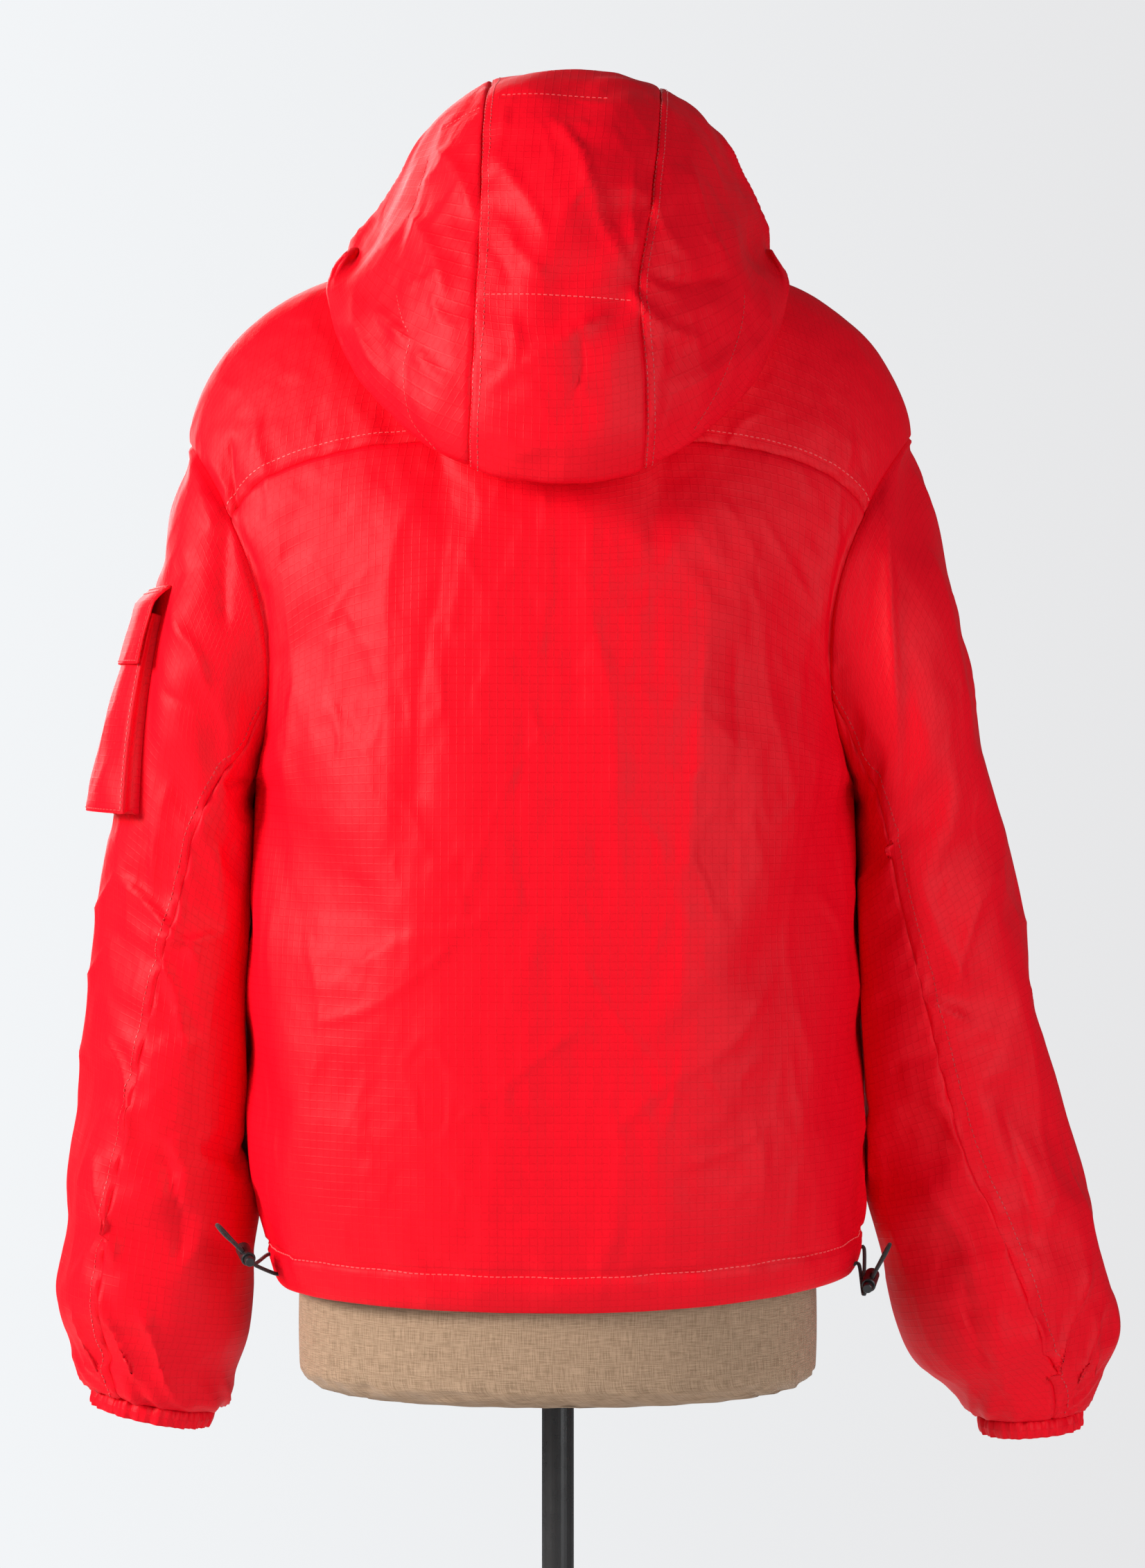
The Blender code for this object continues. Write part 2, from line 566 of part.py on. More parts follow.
def add_body(parts, cloth):
    yoke_row = BODY_PLACES.index(LOWER_ROWS + YOKE_PLACE)
    outer, inner = body_grids(True)
    edges = ["first", "last"]
    grids = shrink_edges(outer[: yoke_row + 1], inner[: yoke_row + 1], [*edges, "high"])
    wall("back_panel", *grids, cloth, parts)
    grids = shrink_edges(outer[yoke_row:], inner[yoke_row:], [*edges, "low", "high"])
    wall("back_yoke", *grids, cloth, parts)

    outer, inner = body_grids(False)
    outer, inner = outer.copy(), inner.copy()
    middle = outer.shape[1] // 2
    for grid in (outer, inner):
        grid[:, middle, 0] = FRONT_OPENING / 2
    grids = shrink_edges(outer[:, : middle + 1], inner[:, : middle + 1], ["first", "high"])
    wall("front_left", *grids, cloth, parts)
    for grid in (outer, inner):
        grid[:, middle, 0] = -FRONT_OPENING / 2
    grids = shrink_edges(outer[:, middle:], inner[:, middle:], ["last", "high"])
    wall("front_right", *grids, cloth, parts)


# ---- sleeves ----------------------------------------------------------------------------

def armhole_turns():
    """The turns of the armhole's points, from the front seam over the top to the back seam and on."""
    places = [0.0, *UPPER_PLACES]
    back = [edge_turn(place, True) for place in places]
    front = [edge_turn(place, False) for place in places]
    seam = places.index(SLEEVE_SEAM_PLACE)
    top = front[seam:-1] + back[:seam - 1:-1]
    under = back[seam::-1] + [turn + 360 for turn in front[1:seam + 1]]
    return top, under


def sleeve_grids(side, columns_of, ring_count):
    """Outer and inner grids of a sleeve piece; columns_of gives the turns of each ring's columns."""
    sign = 1 if side == "left" else -1
    outer, inner = [], []
    step = 0.04
    for ring in range(ring_count):
        row, row_in = [], []
        for turn in columns_of(ring):
            point = sleeve_surface(side, ring, turn)
            around = sleeve_surface(side, ring, turn + 2) - sleeve_surface(side, ring, turn - 2)
            low = max(ring - step, 0.001)
            high = min(ring + step, ring_count - 1)
            along = sleeve_surface(side, high, turn) - sleeve_surface(side, low, turn)
            normal = unit(np.cross(along, around)) * sign
            row.append(point)
            if ring == 0:
                row_in.append(point + CLOTH * armhole_inward(turn, sign))
            else:
                row_in.append(point - CLOTH * normal)
        outer.append(row)
        inner.append(row_in)
    return np.array(outer), np.array(inner)


def add_sleeve(side, parts, cloth, knit):
    rows = SLEEVE_RINGS[side]
    ring_count = len(rows) + 1
    top, under = armhole_turns()

    def spread(turns, first, last, ring):
        """The armhole's own spacing at ring 0, even spacing from the third ring on."""
        share = min(1.0, ring / 3)
        own = np.interp(turns, (turns[0], turns[-1]), (first, last))
        even = np.linspace(first, last, len(turns))
        return own + (even - own) * share

    def seam_turn(ring):
        return top[-1] if ring == 0 else rows[ring - 1][6]

    def top_columns(ring):
        front = top[0] + (FRONT_SLEEVE_SEAM - 360 - top[0]) * min(1.0, ring / 3)
        return spread(top, front, seam_turn(ring), ring)

    def under_columns(ring):
        front = under[-1] + (FRONT_SLEEVE_SEAM - under[-1]) * min(1.0, ring / 3)
        return spread(under, seam_turn(ring), front, ring)

    for piece, columns_of in (("top", top_columns), ("under", under_columns)):
        outer, inner = sleeve_grids(side, columns_of, ring_count)
        grids = shrink_edges(outer, inner, ["low", "high", "first", "last"])
        wall(f"{side}_{piece}_sleeve", *grids, cloth, parts)
    add_cuff(side, parts, knit)


CUFF_COLUMNS = 24


def add_cuff(side, parts, knit):
    """The elastic band below the sleeve, hanging at right angles to its own opening."""
    last = len(SLEEVE_RINGS[side])
    turns = np.linspace(0, 360, CUFF_COLUMNS, False)
    ring = np.array([sleeve_surface(side, last, turn) for turn in turns])
    above = np.array([sleeve_surface(side, last - 0.05, turn) for turn in turns])
    centre = ring.mean(axis=0)
    spread = ring - centre
    _, _, frame = np.linalg.svd(spread)
    down = frame[2] if frame[2] @ (centre - above.mean(axis=0)) > 0 else -frame[2]
    heights = spread @ down
    level = spread - np.outer(heights, down)
    out = unit_rows(level)
    start = centre + level + down * (heights.max() + 2 * SEAM_GAP)
    slant = down * CUFF_LENGTH - out * CUFF_TAPER
    outer = np.array([start + slant * share for share in (0.0, 0.5, 1.0)])
    tube(f"{side}_cuff", outer, outer - out * CLOTH, knit, parts)


def tube(name, outer, inner, finish, parts):
    """A closed ring-shaped wall: rows along the tube, columns all the way round it."""
    rows, columns = outer.shape[:2]
    shape = bmesh.new()
    near, far = [[[shape.verts.new(p) for p in row] for row in grid] for grid in (outer, inner)]
    for i in range(rows - 1):
        for j in range(columns):
            k = (j + 1) % columns
            shape.faces.new((near[i][j], near[i][k], near[i + 1][k], near[i + 1][j]))
            shape.faces.new((far[i][j], far[i + 1][j], far[i + 1][k], far[i][k]))
    for i in (0, rows - 1):
        for j in range(columns):
            k = (j + 1) % columns
            shape.faces.new((near[i][j], near[i][k], far[i][k], far[i][j]))
    bmesh.ops.recalc_face_normals(shape, faces=shape.faces)
    return finish_mesh(name, shape, finish, parts)


# ---- hood -------------------------------------------------------------------------------

NECK_PANEL_TURN = 45.0   # where the hood's panel seams meet the neck edge
CENTRE_HOOD_COLUMNS = 9
# Where a side panel's columns lie, from its seam to the face edge, closest over the shoulder line.
SIDE_HOOD_COLUMNS = (0, 1, 2, 3, 3.5, 4, 4.5, 5, 6, 7, 8, 9, 10, 11, 12)
LAST_RESTING_RING = 7    # rings below this one rest over the shoulders
LIFT_SMOOTHING = 3


HOOD_PLACES = [0.0, 0.3, 0.65, *range(1, len(HOOD_RINGS))]   # closer where it turns off the neck


def hood_outer(rings, turns):
    """The hood's outer face as a grid, lifted off the shoulders where it rests over them."""
    points = np.array([[hood_surface(ring, turn) for turn in row] for ring, row in zip(rings, turns)])
    lift = np.zeros(points.shape[:2])
    for i, ring in enumerate(rings):
        if 0 < ring < LAST_RESTING_RING:
            clearance = HOOD_CLEARANCE * min(1.0, 4 * ring)
            for j, (x, y, z) in enumerate(points[i]):
                lift[i, j] = max(height_clear_of_shoulder(x, y, clearance) - z, 0.0)
    needed = lift.copy()
    for _ in range(LIFT_SMOOTHING):
        spread = np.pad(lift, 1, mode="edge")
        spread = (spread[1:-1, :-2] + spread[1:-1, 2:] + spread[:-2, 1:-1] + spread[2:, 1:-1]) / 4
        lift = np.maximum(spread, needed)
    lift[0] = 0.0
    points[:, :, 2] += lift
    return points


def add_hood(parts, cloth):
    def panel_turn(ring, side):
        row = table_at(HOOD_RINGS, ring)
        half, panel = (row[6], row[9]) if side > 0 else (row[7], row[10])
        turn = math.degrees(math.asin(min(panel / half, 0.98)))
        return side * (NECK_PANEL_TURN + (turn - NECK_PANEL_TURN) * min(ring, 1.0))

    turns = []
    for ring in HOOD_PLACES:
        opening = table_at(HOOD_RINGS, ring)[8]
        last = 180.0 if ring == 0 else opening
        seams = panel_turn(ring, -1), panel_turn(ring, 1)
        shares = np.array(SIDE_HOOD_COLUMNS) / SIDE_HOOD_COLUMNS[-1]
        right = (seams[0] + (-last - seams[0]) * shares)[::-1]
        centre = np.linspace(*seams, CENTRE_HOOD_COLUMNS)
        left = seams[1] + (last - seams[1]) * shares
        right[0], left[-1] = -opening, opening
        turns.append([*right, *centre[1:-1], *left])
    outer = hood_outer(HOOD_PLACES, turns)
    normals = grid_normals(outer)
    if normals[-1, len(turns[0]) // 2, 2] < 0:
        normals = -normals
    inner = outer - CLOTH * normals
    for j, (x, y, _) in enumerate(outer[0]):
        inner[0, j] = outer[0, j] + CLOTH * neck_inward(x, y)

    one = len(SIDE_HOOD_COLUMNS) - 1
    two = one + CENTRE_HOOD_COLUMNS - 1
    for name, columns, edges in (
        ("hood_right", slice(0, one + 1), ["low", "last"]),
        ("hood_centre", slice(one, two + 1), ["low", "first", "last"]),
        ("hood_left", slice(two, None), ["low", "first"]),
    ):
        wall(name, *shrink_edges(outer[:, columns], inner[:, columns], edges), cloth, parts)


# ---- sleeve pocket ----------------------------------------------------------------------


def sleeve_at(z, y, lift):
    """The point on the left sleeve's outer face at this height and y, moved straight out by lift."""
    ring, turn = 3.0, 0.0
    for _ in range(30):
        point = sleeve_surface("left", ring, turn)
        turn += np.clip((y - point[1]) / 0.075 * 50, -15, 15)
        ring += np.clip((point[2] - z) / 0.05, -0.8, 0.8)
    point = sleeve_surface("left", ring, turn)
    around = sleeve_surface("left", ring, turn + 2) - sleeve_surface("left", ring, turn - 2)
    along = sleeve_surface("left", ring + 0.05, turn) - sleeve_surface("left", ring - 0.05, turn)
    normal = unit(np.cross(along, around))
    if normal[0] < 0:
        normal = -normal
    return point + normal * lift


def add_pocket(parts, cloth):
    levels = np.linspace(0, 1, 6)
    spans = np.linspace(-1, 1, 9)

    def stand(share):
        return POCKET_STAND_TOP + (POCKET_STAND_BOTTOM - POCKET_STAND_TOP) * share

    def height_at(share):
        return POCKET_TOP_Z + (POCKET_BOTTOM_Z - POCKET_TOP_Z) * share

    def front_stand(share, span):
        return stand(share) * (1 - POCKET_EDGE_DROP * abs(span) ** 4)

    def front_point(share, span, lift):
        y = POCKET_Y + POCKET_HALF_WIDTH * span
        return sleeve_at(height_at(share), y, front_stand(share, span) + lift)

    outer = np.array([[front_point(s, t, GUSSET_CLOTH) for t in spans] for s in levels])
    inner = np.array([[front_point(s, t, 0.0) for t in spans] for s in levels])
    wall("pocket_front", outer, inner, cloth, parts)

    # The bellows strip runs down one side, along the bottom and up the other.
    path = [(s, -1.0) for s in levels] + [(1.0, t) for t in spans[1:-1]]
    path += [(s, 1.0) for s in reversed(levels)]
    rows_out, rows_in = [], []
    for height in (0.0, 0.5, 1.0):
        row_out, row_in = [], []
        for share, span in path:
            z, reach = height_at(share), POCKET_HALF_WIDTH * span
            high = front_stand(share, span) - SEAM_GAP
            lift = GUSSET_FOOT + (high - GUSSET_FOOT) * height
            drop = GUSSET_CLOTH if share == 1.0 else 0.0
            row_out.append(sleeve_at(z, POCKET_Y + reach, lift))
            row_in.append(sleeve_at(z + drop, POCKET_Y + reach - GUSSET_CLOTH * span, lift))
        rows_out.append(row_out)
        rows_in.append(row_in)
    wall("pocket_gusset", np.array(rows_out), np.array(rows_in), cloth, parts)

    flap_levels = np.linspace(0, 1, 5)

    def flap_point(share, span, lift):
        z = FLAP_TOP_Z + (FLAP_BOTTOM_Z - FLAP_TOP_Z) * share
        pocket_share = max(0.0, (POCKET_TOP_Z - z) / (POCKET_TOP_Z - POCKET_BOTTOM_Z))
        over = stand(pocket_share) + GUSSET_CLOTH + 2 * SEAM_GAP
        rise = min(1.0, share / FLAP_RISE_SHARE) ** 0.8
        base = SEAM_GAP + (over - SEAM_GAP) * rise
        return sleeve_at(z, POCKET_Y + FLAP_HALF_WIDTH * span, base + lift)

    outer = np.array([[flap_point(s, t, GUSSET_CLOTH) for t in spans] for s in flap_levels])
    inner = np.array([[flap_point(s, t, 0.0) for t in spans] for s in flap_levels])
    wall("pocket_flap", outer, inner, cloth, parts)


# ---- dress form and stand ---------------------------------------------------------------

FORM_COLUMNS = 28


def add_form(parts, linen, steel, plastic):
    rings = np.array(FORM_RINGS)
    shape = bmesh.new()
    loops = []
    for z, half, deep, middle in rings:
        loop = []
        for i in range(FORM_COLUMNS):
            angle = 2 * math.pi * i / FORM_COLUMNS
            x = half * signed_power(math.cos(angle), 2 / FORM_SQUARENESS)
            y = middle + deep * signed_power(math.sin(angle), 2 / FORM_SQUARENESS)
            loop.append(shape.verts.new((x, y, z)))
        loops.append(loop)
    for low, high in zip(loops, loops[1:]):
        for i in range(FORM_COLUMNS):
            j = (i + 1) % FORM_COLUMNS
            shape.faces.new((low[i], low[j], high[j], high[i]))
    shape.faces.new(loops[0][::-1])
    shape.faces.new(loops[-1])
    finish_mesh("dress_form", shape, linen, parts)

    top_z, half, deep, middle = rings[-1]
    cap = turned("neck_cap", [
        (0.0, NECK_CAP_HEIGHT), (half * 0.4, NECK_CAP_HEIGHT * 0.95), (half * 0.8, NECK_CAP_HEIGHT * 0.75),
        (half * 0.96, NECK_CAP_HEIGHT * 0.4), (half * 0.98, 0.0), (0.0, 0.0),
    ], plastic, parts)
    cap.location = (0, middle, top_z + SEAM_GAP)
    cap.scale = (1, deep / half, 1)
    turned("pole", [
        (0.0, FORM_BOTTOM_Z - SEAM_GAP), (POLE_RADIUS, FORM_BOTTOM_Z - SEAM_GAP),
        (POLE_RADIUS, BASE_THICK + SEAM_GAP), (0.0, BASE_THICK + SEAM_GAP),
    ], steel, parts)
    turned("base", [
        (0.0, BASE_THICK), (BASE_RADIUS - 0.004, BASE_THICK), (BASE_RADIUS, BASE_THICK - 0.004),
        (BASE_RADIUS, 0.001), (BASE_RADIUS - 0.001, 0.0), (0.0, 0.0),
    ], steel, parts, steps=48)


def turned(name, profile, finish, parts, steps=32, parent=None):
    """A solid of revolution about local Z. The profile of (radius, height) runs down its outer side."""
    shape = bmesh.new()
    verts = [shape.verts.new((radius, 0.0, height)) for radius, height in profile]
    for here, there in zip(verts, verts[1:]):
        shape.edges.new((here, there))
    mesh = bpy.data.meshes.new(name)
    shape.to_mesh(mesh)
    shape.free()
    made = bpy.data.objects.new(name, mesh)
    mesh.materials.append(finish)
    parts.objects.link(made)
    screw = made.modifiers.new("Turn", "SCREW")
    screw.steps = screw.render_steps = steps
    screw.use_merge_vertices = True
    screw.merge_threshold = 0.00001
    screw.use_smooth_shade = True
    made.parent = parent
    return made


def box(name, size, at, finish, parts, parent=None):
    shape = bmesh.new()
    bmesh.ops.create_cube(shape, size=1.0)
    bmesh.ops.scale(shape, vec=size, verts=shape.verts)
    bmesh.ops.translate(shape, vec=at, verts=shape.verts)
    made = finish_mesh(name, shape, finish, parts, smooth=False)
    made.parent = parent
    return made


def combine(target, tool, operation):
    """Cut away or add a solid that stays in the cutters' collection."""
    tool.hide_render = True
    tool.display_type = "WIRE"
    boolean = target.modifiers.new(tool.name, "BOOLEAN")
    boolean.operation = operation
    boolean.solver = "EXACT"
    boolean.object = tool


def empty(name, matrix, parts):
    made = bpy.data.objects.new(name, None)
    parts.objects.link(made)
    made.matrix_world = matrix
    return made


# ---- zip --------------------------------------------------------------------------------


def front_centre(z):
    """y of the centre front at this height."""
    rows = [body_surface(row, 0.0, False) for row in BODY_PLACES]
    heights, depths = [p[2] for p in rows], [p[1] for p in rows]
    return float(np.interp(z, heights, depths))


def add_zip(parts, cutters, zip_finish, metal):
    heights = np.linspace(ZIP_BOTTOM_Z, ZIP_TOP_Z, 14)
    across = (ZIP_WIDTH / 2, 0.0, -ZIP_WIDTH / 2)
    outer = np.array([[(x, front_centre(z) - ZIP_PROUD, z) for x in across] for z in heights])
    inner = outer + (0, ZIP_THICK, 0)
    wall("front_zip", outer, inner, zip_finish, parts)

    # The slider's frame leans with the front: local -Y points out from the chest.
    slope = front_centre(SLIDER_Z + 0.01) - front_centre(SLIDER_Z - 0.01)
    lean = math.atan2(slope, 0.02)
    face = front_centre(SLIDER_Z) - ZIP_PROUD
    place = Matrix.Translation((0, face, SLIDER_Z)) @ Matrix.Rotation(-lean, 4, "X")
    frame = empty("slider_frame", place, parts)
    gap, thick = 2 * SEAM_GAP, SLIDER["thick"]
    body = box(
        "zip_slider", (SLIDER["width"], thick, SLIDER["height"]), (0, -gap - thick / 2, 0),
        metal, parts, frame,
    )
    bevel = body.modifiers.new("Edges", "BEVEL")
    bevel.width, bevel.segments = 0.0007, 1
    reach = BRIDGE["reach"]
    front = -gap - thick
    bridge = box(
        "bridge", (BRIDGE["width"], reach + 0.0006, BRIDGE["height"]),
        (0, front - reach / 2 + 0.0003, 0), metal, cutters, frame,
    )
    combine(body, bridge, "UNION")
    hole = box(
        "bridge_hole", (0.01, reach - BRIDGE["bar"], BRIDGE["height"] - 2 * BRIDGE["bar"]),
        (0, front - (reach - BRIDGE["bar"]) / 2, 0), metal, cutters, frame,
    )
    combine(body, hole, "DIFFERENCE")

    # The pull hangs from its top bar, which turns inside the bridge.
    axis_y = front - (reach - BRIDGE["bar"]) / 2
    hinge = empty("pull_hinge", place @ Matrix.Translation((0, axis_y, 0)), parts)
    top = PULL["top"]
    pull = box(
        "zip_pull", (PULL["width"], PULL["thick"], PULL["length"]),
        (0, 0, top - PULL["length"] / 2 - 0.0004), metal, parts, hinge,
    )
    eye = box(
        "pull_eye", (PULL["eye_width"], 0.01, PULL["eye_height"]),
        (0, 0, -top * 0.4 - PULL["eye_height"] / 2), metal, cutters, hinge,
    )
    combine(pull, eye, "DIFFERENCE")


# ---- drawcord locks ---------------------------------------------------------------------


def lock_frame(side):
    """Local Z is the way the button points, local X the way the strands cross."""
    lock = LOCKS[side]
    axis = Vector(lock["axis"]).normalized()
    across = Vector(lock["across"])
    across = (across - across.dot(axis) * axis).normalized()
    third = axis.cross(across)
    matrix = Matrix((across, third, axis)).transposed().to_4x4()
    matrix.translation = Vector(lock["at"])
    return matrix


def smooth_route(points, count):
    """Points at equal steps along a smooth curve through the given ones."""
    dense = np.array([
        table_at(points, place) for place in np.linspace(0, len(points) - 1, 12 * len(points))
    ])
    lengths = np.concatenate([[0], np.cumsum(np.linalg.norm(np.diff(dense, axis=0), axis=1))])
    steps = np.linspace(0, lengths[-1], count)
    return np.stack([np.interp(steps, lengths, dense[:, k]) for k in range(3)], axis=1)


def add_lock(side, parts, cutters, plastic, cord_finish):
    matrix = lock_frame(side)
    frame = empty(f"{side}_lock_frame", matrix, parts)
    strands = CORD_PITCH / 2 + CORD_RADIUS + HOLE_SLACK
    open_end = HOLE_DEPTH
    closed_end = open_end - LOCK_LENGTH
    rim = 0.0005
    barrel = turned(f"{side}_lock_barrel", [
        (0.0, closed_end + LOCK_FLOOR), (LOCK_BORE, closed_end + LOCK_FLOOR),
        (LOCK_BORE, open_end), (LOCK_RADIUS - rim, open_end), (LOCK_RADIUS, open_end - rim),
        (LOCK_RADIUS, closed_end + rim), (LOCK_RADIUS - rim, closed_end), (0.0, closed_end),
    ], plastic, parts, steps=24, parent=frame)
    hole = box(
        f"{side}_cord_hole", (0.02, 2 * (CORD_RADIUS + HOLE_SLACK), 2 * strands), (0, 0, 0),
        plastic, cutters, frame,
    )
    combine(barrel, hole, "DIFFERENCE")
    button = turned(f"{side}_lock_button", [
        (0.0, open_end + BUTTON_OUT), (BUTTON_RADIUS - rim, open_end + BUTTON_OUT),
        (BUTTON_RADIUS, open_end + BUTTON_OUT - rim), (BUTTON_RADIUS, open_end - BUTTON_IN),
        (0.0, open_end - BUTTON_IN),
    ], plastic, parts, steps=24, parent=frame)
    slot_length = 2 * strands + BUTTON_TRAVEL + 0.0001
    slot = box(
        f"{side}_button_slot", (0.02, 2 * (CORD_RADIUS + HOLE_SLACK), slot_length),
        (0, 0, slot_length / 2 - strands), plastic, cutters, frame,
    )
    combine(button, slot, "DIFFERENCE")

    half = CORD_PITCH / 2
    sign = 1 if side == "left" else -1
    start, end = (
        Vector((sign * (body_side_x(side, y, z) + CORD_END_GAP), y, z)) for y, z in CORD_ENDS[side]
    )
    near, far = -2 * LOCK_RADIUS, 2 * LOCK_RADIUS

    def local(x, z, y=0.0):
        return tuple(matrix @ Vector((x, y, z)))

    out = Vector((sign, 0.15, 0))
    tail, wide = TAIL_LENGTH, TAIL_HALF_WIDTH
    route = [tuple(start), tuple(start + out * 0.004)]
    route += [local(x, half) for x in (near, near / 2, 0.0, far / 2, far)]
    route += [
        local(far + tail * 0.28, half * 1.6), local(far + tail * 0.55, wide * 0.85),
        local(far + tail * 0.8, wide), local(far + tail, wide * 0.55), local(far + tail * 1.07, 0.0),
        local(far + tail, -wide * 0.55), local(far + tail * 0.8, -wide),
        local(far + tail * 0.55, -wide * 0.85), local(far + tail * 0.28, -half * 1.6),
    ]
    route += [local(x, -half) for x in (far, far / 2, 0.0, near / 2, near)]
    route += [tuple(end + out * 0.004), tuple(end)]
    data = bpy.data.curves.new(f"{side}_drawcord", "CURVE")
    data.dimensions = "3D"
    data.bevel_depth = CORD_RADIUS
    data.bevel_resolution = 2
    data.use_fill_caps = True
    points = smooth_route(route, CORD_POINTS)
    line = data.splines.new("POLY")
    line.points.add(len(points) - 1)
    for point, place in zip(line.points, points):
        point.co = (*place, 1.0)
    cord = bpy.data.objects.new(f"{side}_drawcord", data)
    cord.data.materials.append(cord_finish)
    parts.objects.link(cord)


def main():
    clear_scene()
    parts = collection(COLLECTION)
    cutters = collection("cutters")
    red = material("red_nylon", RED, 0.45)
    knit = material("red_elastic", RED, 0.6)
    linen = material("linen", (0.62, 0.53, 0.41), 0.9)
    steel = material("black_steel", (0.012, 0.012, 0.013), 0.3, 0.9)
    plastic = material("black_plastic", (0.012, 0.012, 0.012), 0.4)
    zip_finish = material("zip_red", ZIP_COLOUR, 0.5)
    metal = material("black_zip_metal", (0.03, 0.03, 0.03), 0.35, 0.8)
    cord_finish = material("black_cord", (0.015, 0.015, 0.016), 0.8)
    add_body(parts, red)
    for side in ("left", "right"):
        add_sleeve(side, parts, red, knit)
    add_hood(parts, red)
    add_pocket(parts, red)
    add_form(parts, linen, steel, plastic)
    add_zip(parts, cutters, zip_finish, metal)
    for side in ("left", "right"):
        add_lock(side, parts, cutters, plastic, cord_finish)


main()
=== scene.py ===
import functools
import json
import math

import bmesh
import bpy
import numpy as np
from mathutils import Matrix, Vector, kdtree, noise

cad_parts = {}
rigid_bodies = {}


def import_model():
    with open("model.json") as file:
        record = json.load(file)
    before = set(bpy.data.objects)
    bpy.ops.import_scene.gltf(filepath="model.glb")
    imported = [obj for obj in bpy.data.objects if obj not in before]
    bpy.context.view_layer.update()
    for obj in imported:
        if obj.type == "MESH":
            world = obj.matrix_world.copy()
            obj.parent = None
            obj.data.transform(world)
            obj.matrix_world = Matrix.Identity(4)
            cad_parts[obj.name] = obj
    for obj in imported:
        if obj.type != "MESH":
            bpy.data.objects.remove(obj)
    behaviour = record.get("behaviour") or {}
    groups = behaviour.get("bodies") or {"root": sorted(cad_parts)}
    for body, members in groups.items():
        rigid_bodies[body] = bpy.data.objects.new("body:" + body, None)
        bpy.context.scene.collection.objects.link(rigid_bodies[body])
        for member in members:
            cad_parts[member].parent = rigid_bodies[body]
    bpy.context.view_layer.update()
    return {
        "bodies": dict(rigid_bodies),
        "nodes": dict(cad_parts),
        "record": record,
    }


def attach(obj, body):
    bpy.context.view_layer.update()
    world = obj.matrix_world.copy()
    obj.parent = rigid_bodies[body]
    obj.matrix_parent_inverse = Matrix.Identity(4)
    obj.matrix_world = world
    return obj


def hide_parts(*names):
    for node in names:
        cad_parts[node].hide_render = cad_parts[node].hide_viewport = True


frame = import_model()
bodies = list(frame["bodies"])
mainBody = "jacket_and_form"
print("frame loaded:", ", ".join(bodies))

# Shader sums written as Python expressions

class Link:
    def __init__(self, paint, socket):
        self.paint, self.socket = paint, socket

    def sum(self, operation, other, swap=False):
        ends = (other, self) if swap else (self, other)
        return self.paint.add("ShaderNodeMath", dict(operation=operation), {0: ends[0], 1: ends[1]})

    def __add__(self, other):
        return self.sum("ADD", other)

    def __radd__(self, other):
        return self.sum("ADD", other, True)

    def __sub__(self, other):
        return self.sum("SUBTRACT", other)

    def __rsub__(self, other):
        return self.sum("SUBTRACT", other, True)

    def __mul__(self, other):
        return self.sum("MULTIPLY", other)

    def __rmul__(self, other):
        return self.sum("MULTIPLY", other, True)

    def __truediv__(self, other):
        return self.sum("DIVIDE", other)

    def __rtruediv__(self, other):
        return self.sum("DIVIDE", other, True)

    def __pow__(self, other):
        return self.sum("POWER", other)

    def to(self, name):  # another output of the same node
        return Link(self.paint, self.socket.node.outputs[name])


class Paint:
    def __init__(self, name, colour, roughness, **constants):
        self.material = bpy.data.materials.new(name)
        self.material.use_nodes = True
        self.tree = self.material.node_tree
        self.shader = self.tree.nodes["Principled BSDF"]
        self.shader.inputs["Base Color"].default_value = (*colour, 1)
        self.shader.inputs["Roughness"].default_value = roughness
        self.material.diffuse_color = (*colour, 1)
        for label, value in constants.items():
            self.shader.inputs[label.replace("_", " ")].default_value = value

    def add(self, kind, settings, inputs):
        made = self.tree.nodes.new(kind)
        for name, value in settings.items():
            if name == "stops":
                ramp = made.color_ramp
                while len(ramp.elements) < len(value):
                    ramp.elements.new(1.0)
                for stop, (place, colour) in zip(ramp.elements, value):
                    stop.position, stop.color = place, (*colour, 1)
            else:
                setattr(made, name, value)
        for name, value in inputs.items():
            if isinstance(value, Link):
                self.tree.links.new(value.socket, made.inputs[name])
            else:
                made.inputs[name].default_value = value
        return Link(self, next(out for out in made.outputs if out.enabled))

    def feed(self, **links):
        for name, link in links.items():
            self.tree.links.new(link.socket, self.shader.inputs[name.replace("_", " ")])
        return self.material

    def place(self, kind="Object"):
        return self.add("ShaderNodeTexCoord", {}, {}).to(kind)

    def noise(self, where, scale, detail=2.0, rough=0.5):
        inputs = dict(Vector=where, Scale=scale, Detail=detail, Roughness=rough)
        return self.add("ShaderNodeTexNoise", {}, inputs)

    def stretch(self, where, scale, turn=(0, 0, 0)):
        return self.add("ShaderNodeMapping", {}, dict(Vector=where, Scale=scale, Rotation=turn))

    def blend(self, mask, one, two, mode="MIX"):
        return self.add(
            "ShaderNodeMix", dict(data_type="RGBA", blend_type=mode), {0: mask, 6: one, 7: two}
        ).to(2)

    def between(self, value, low, high, out=(0.0, 1.0)):  # smooth step
        return self.add(
            "ShaderNodeMapRange", dict(interpolation_type="SMOOTHSTEP"),
            {0: value, 1: low, 2: high, 3: out[0], 4: out[1]},
        )

    def line(self, value, pitch, width):  # 1 on lines that repeat at this pitch
        away = value.sum("PINGPONG", pitch / 2)
        return self.between(away, width * 0.25, width * 0.75, (1.0, 0.0))

    def bump(self, height, strength, distance):
        return self.add("ShaderNodeBump", {}, dict(Height=height, Strength=strength, Distance=distance))


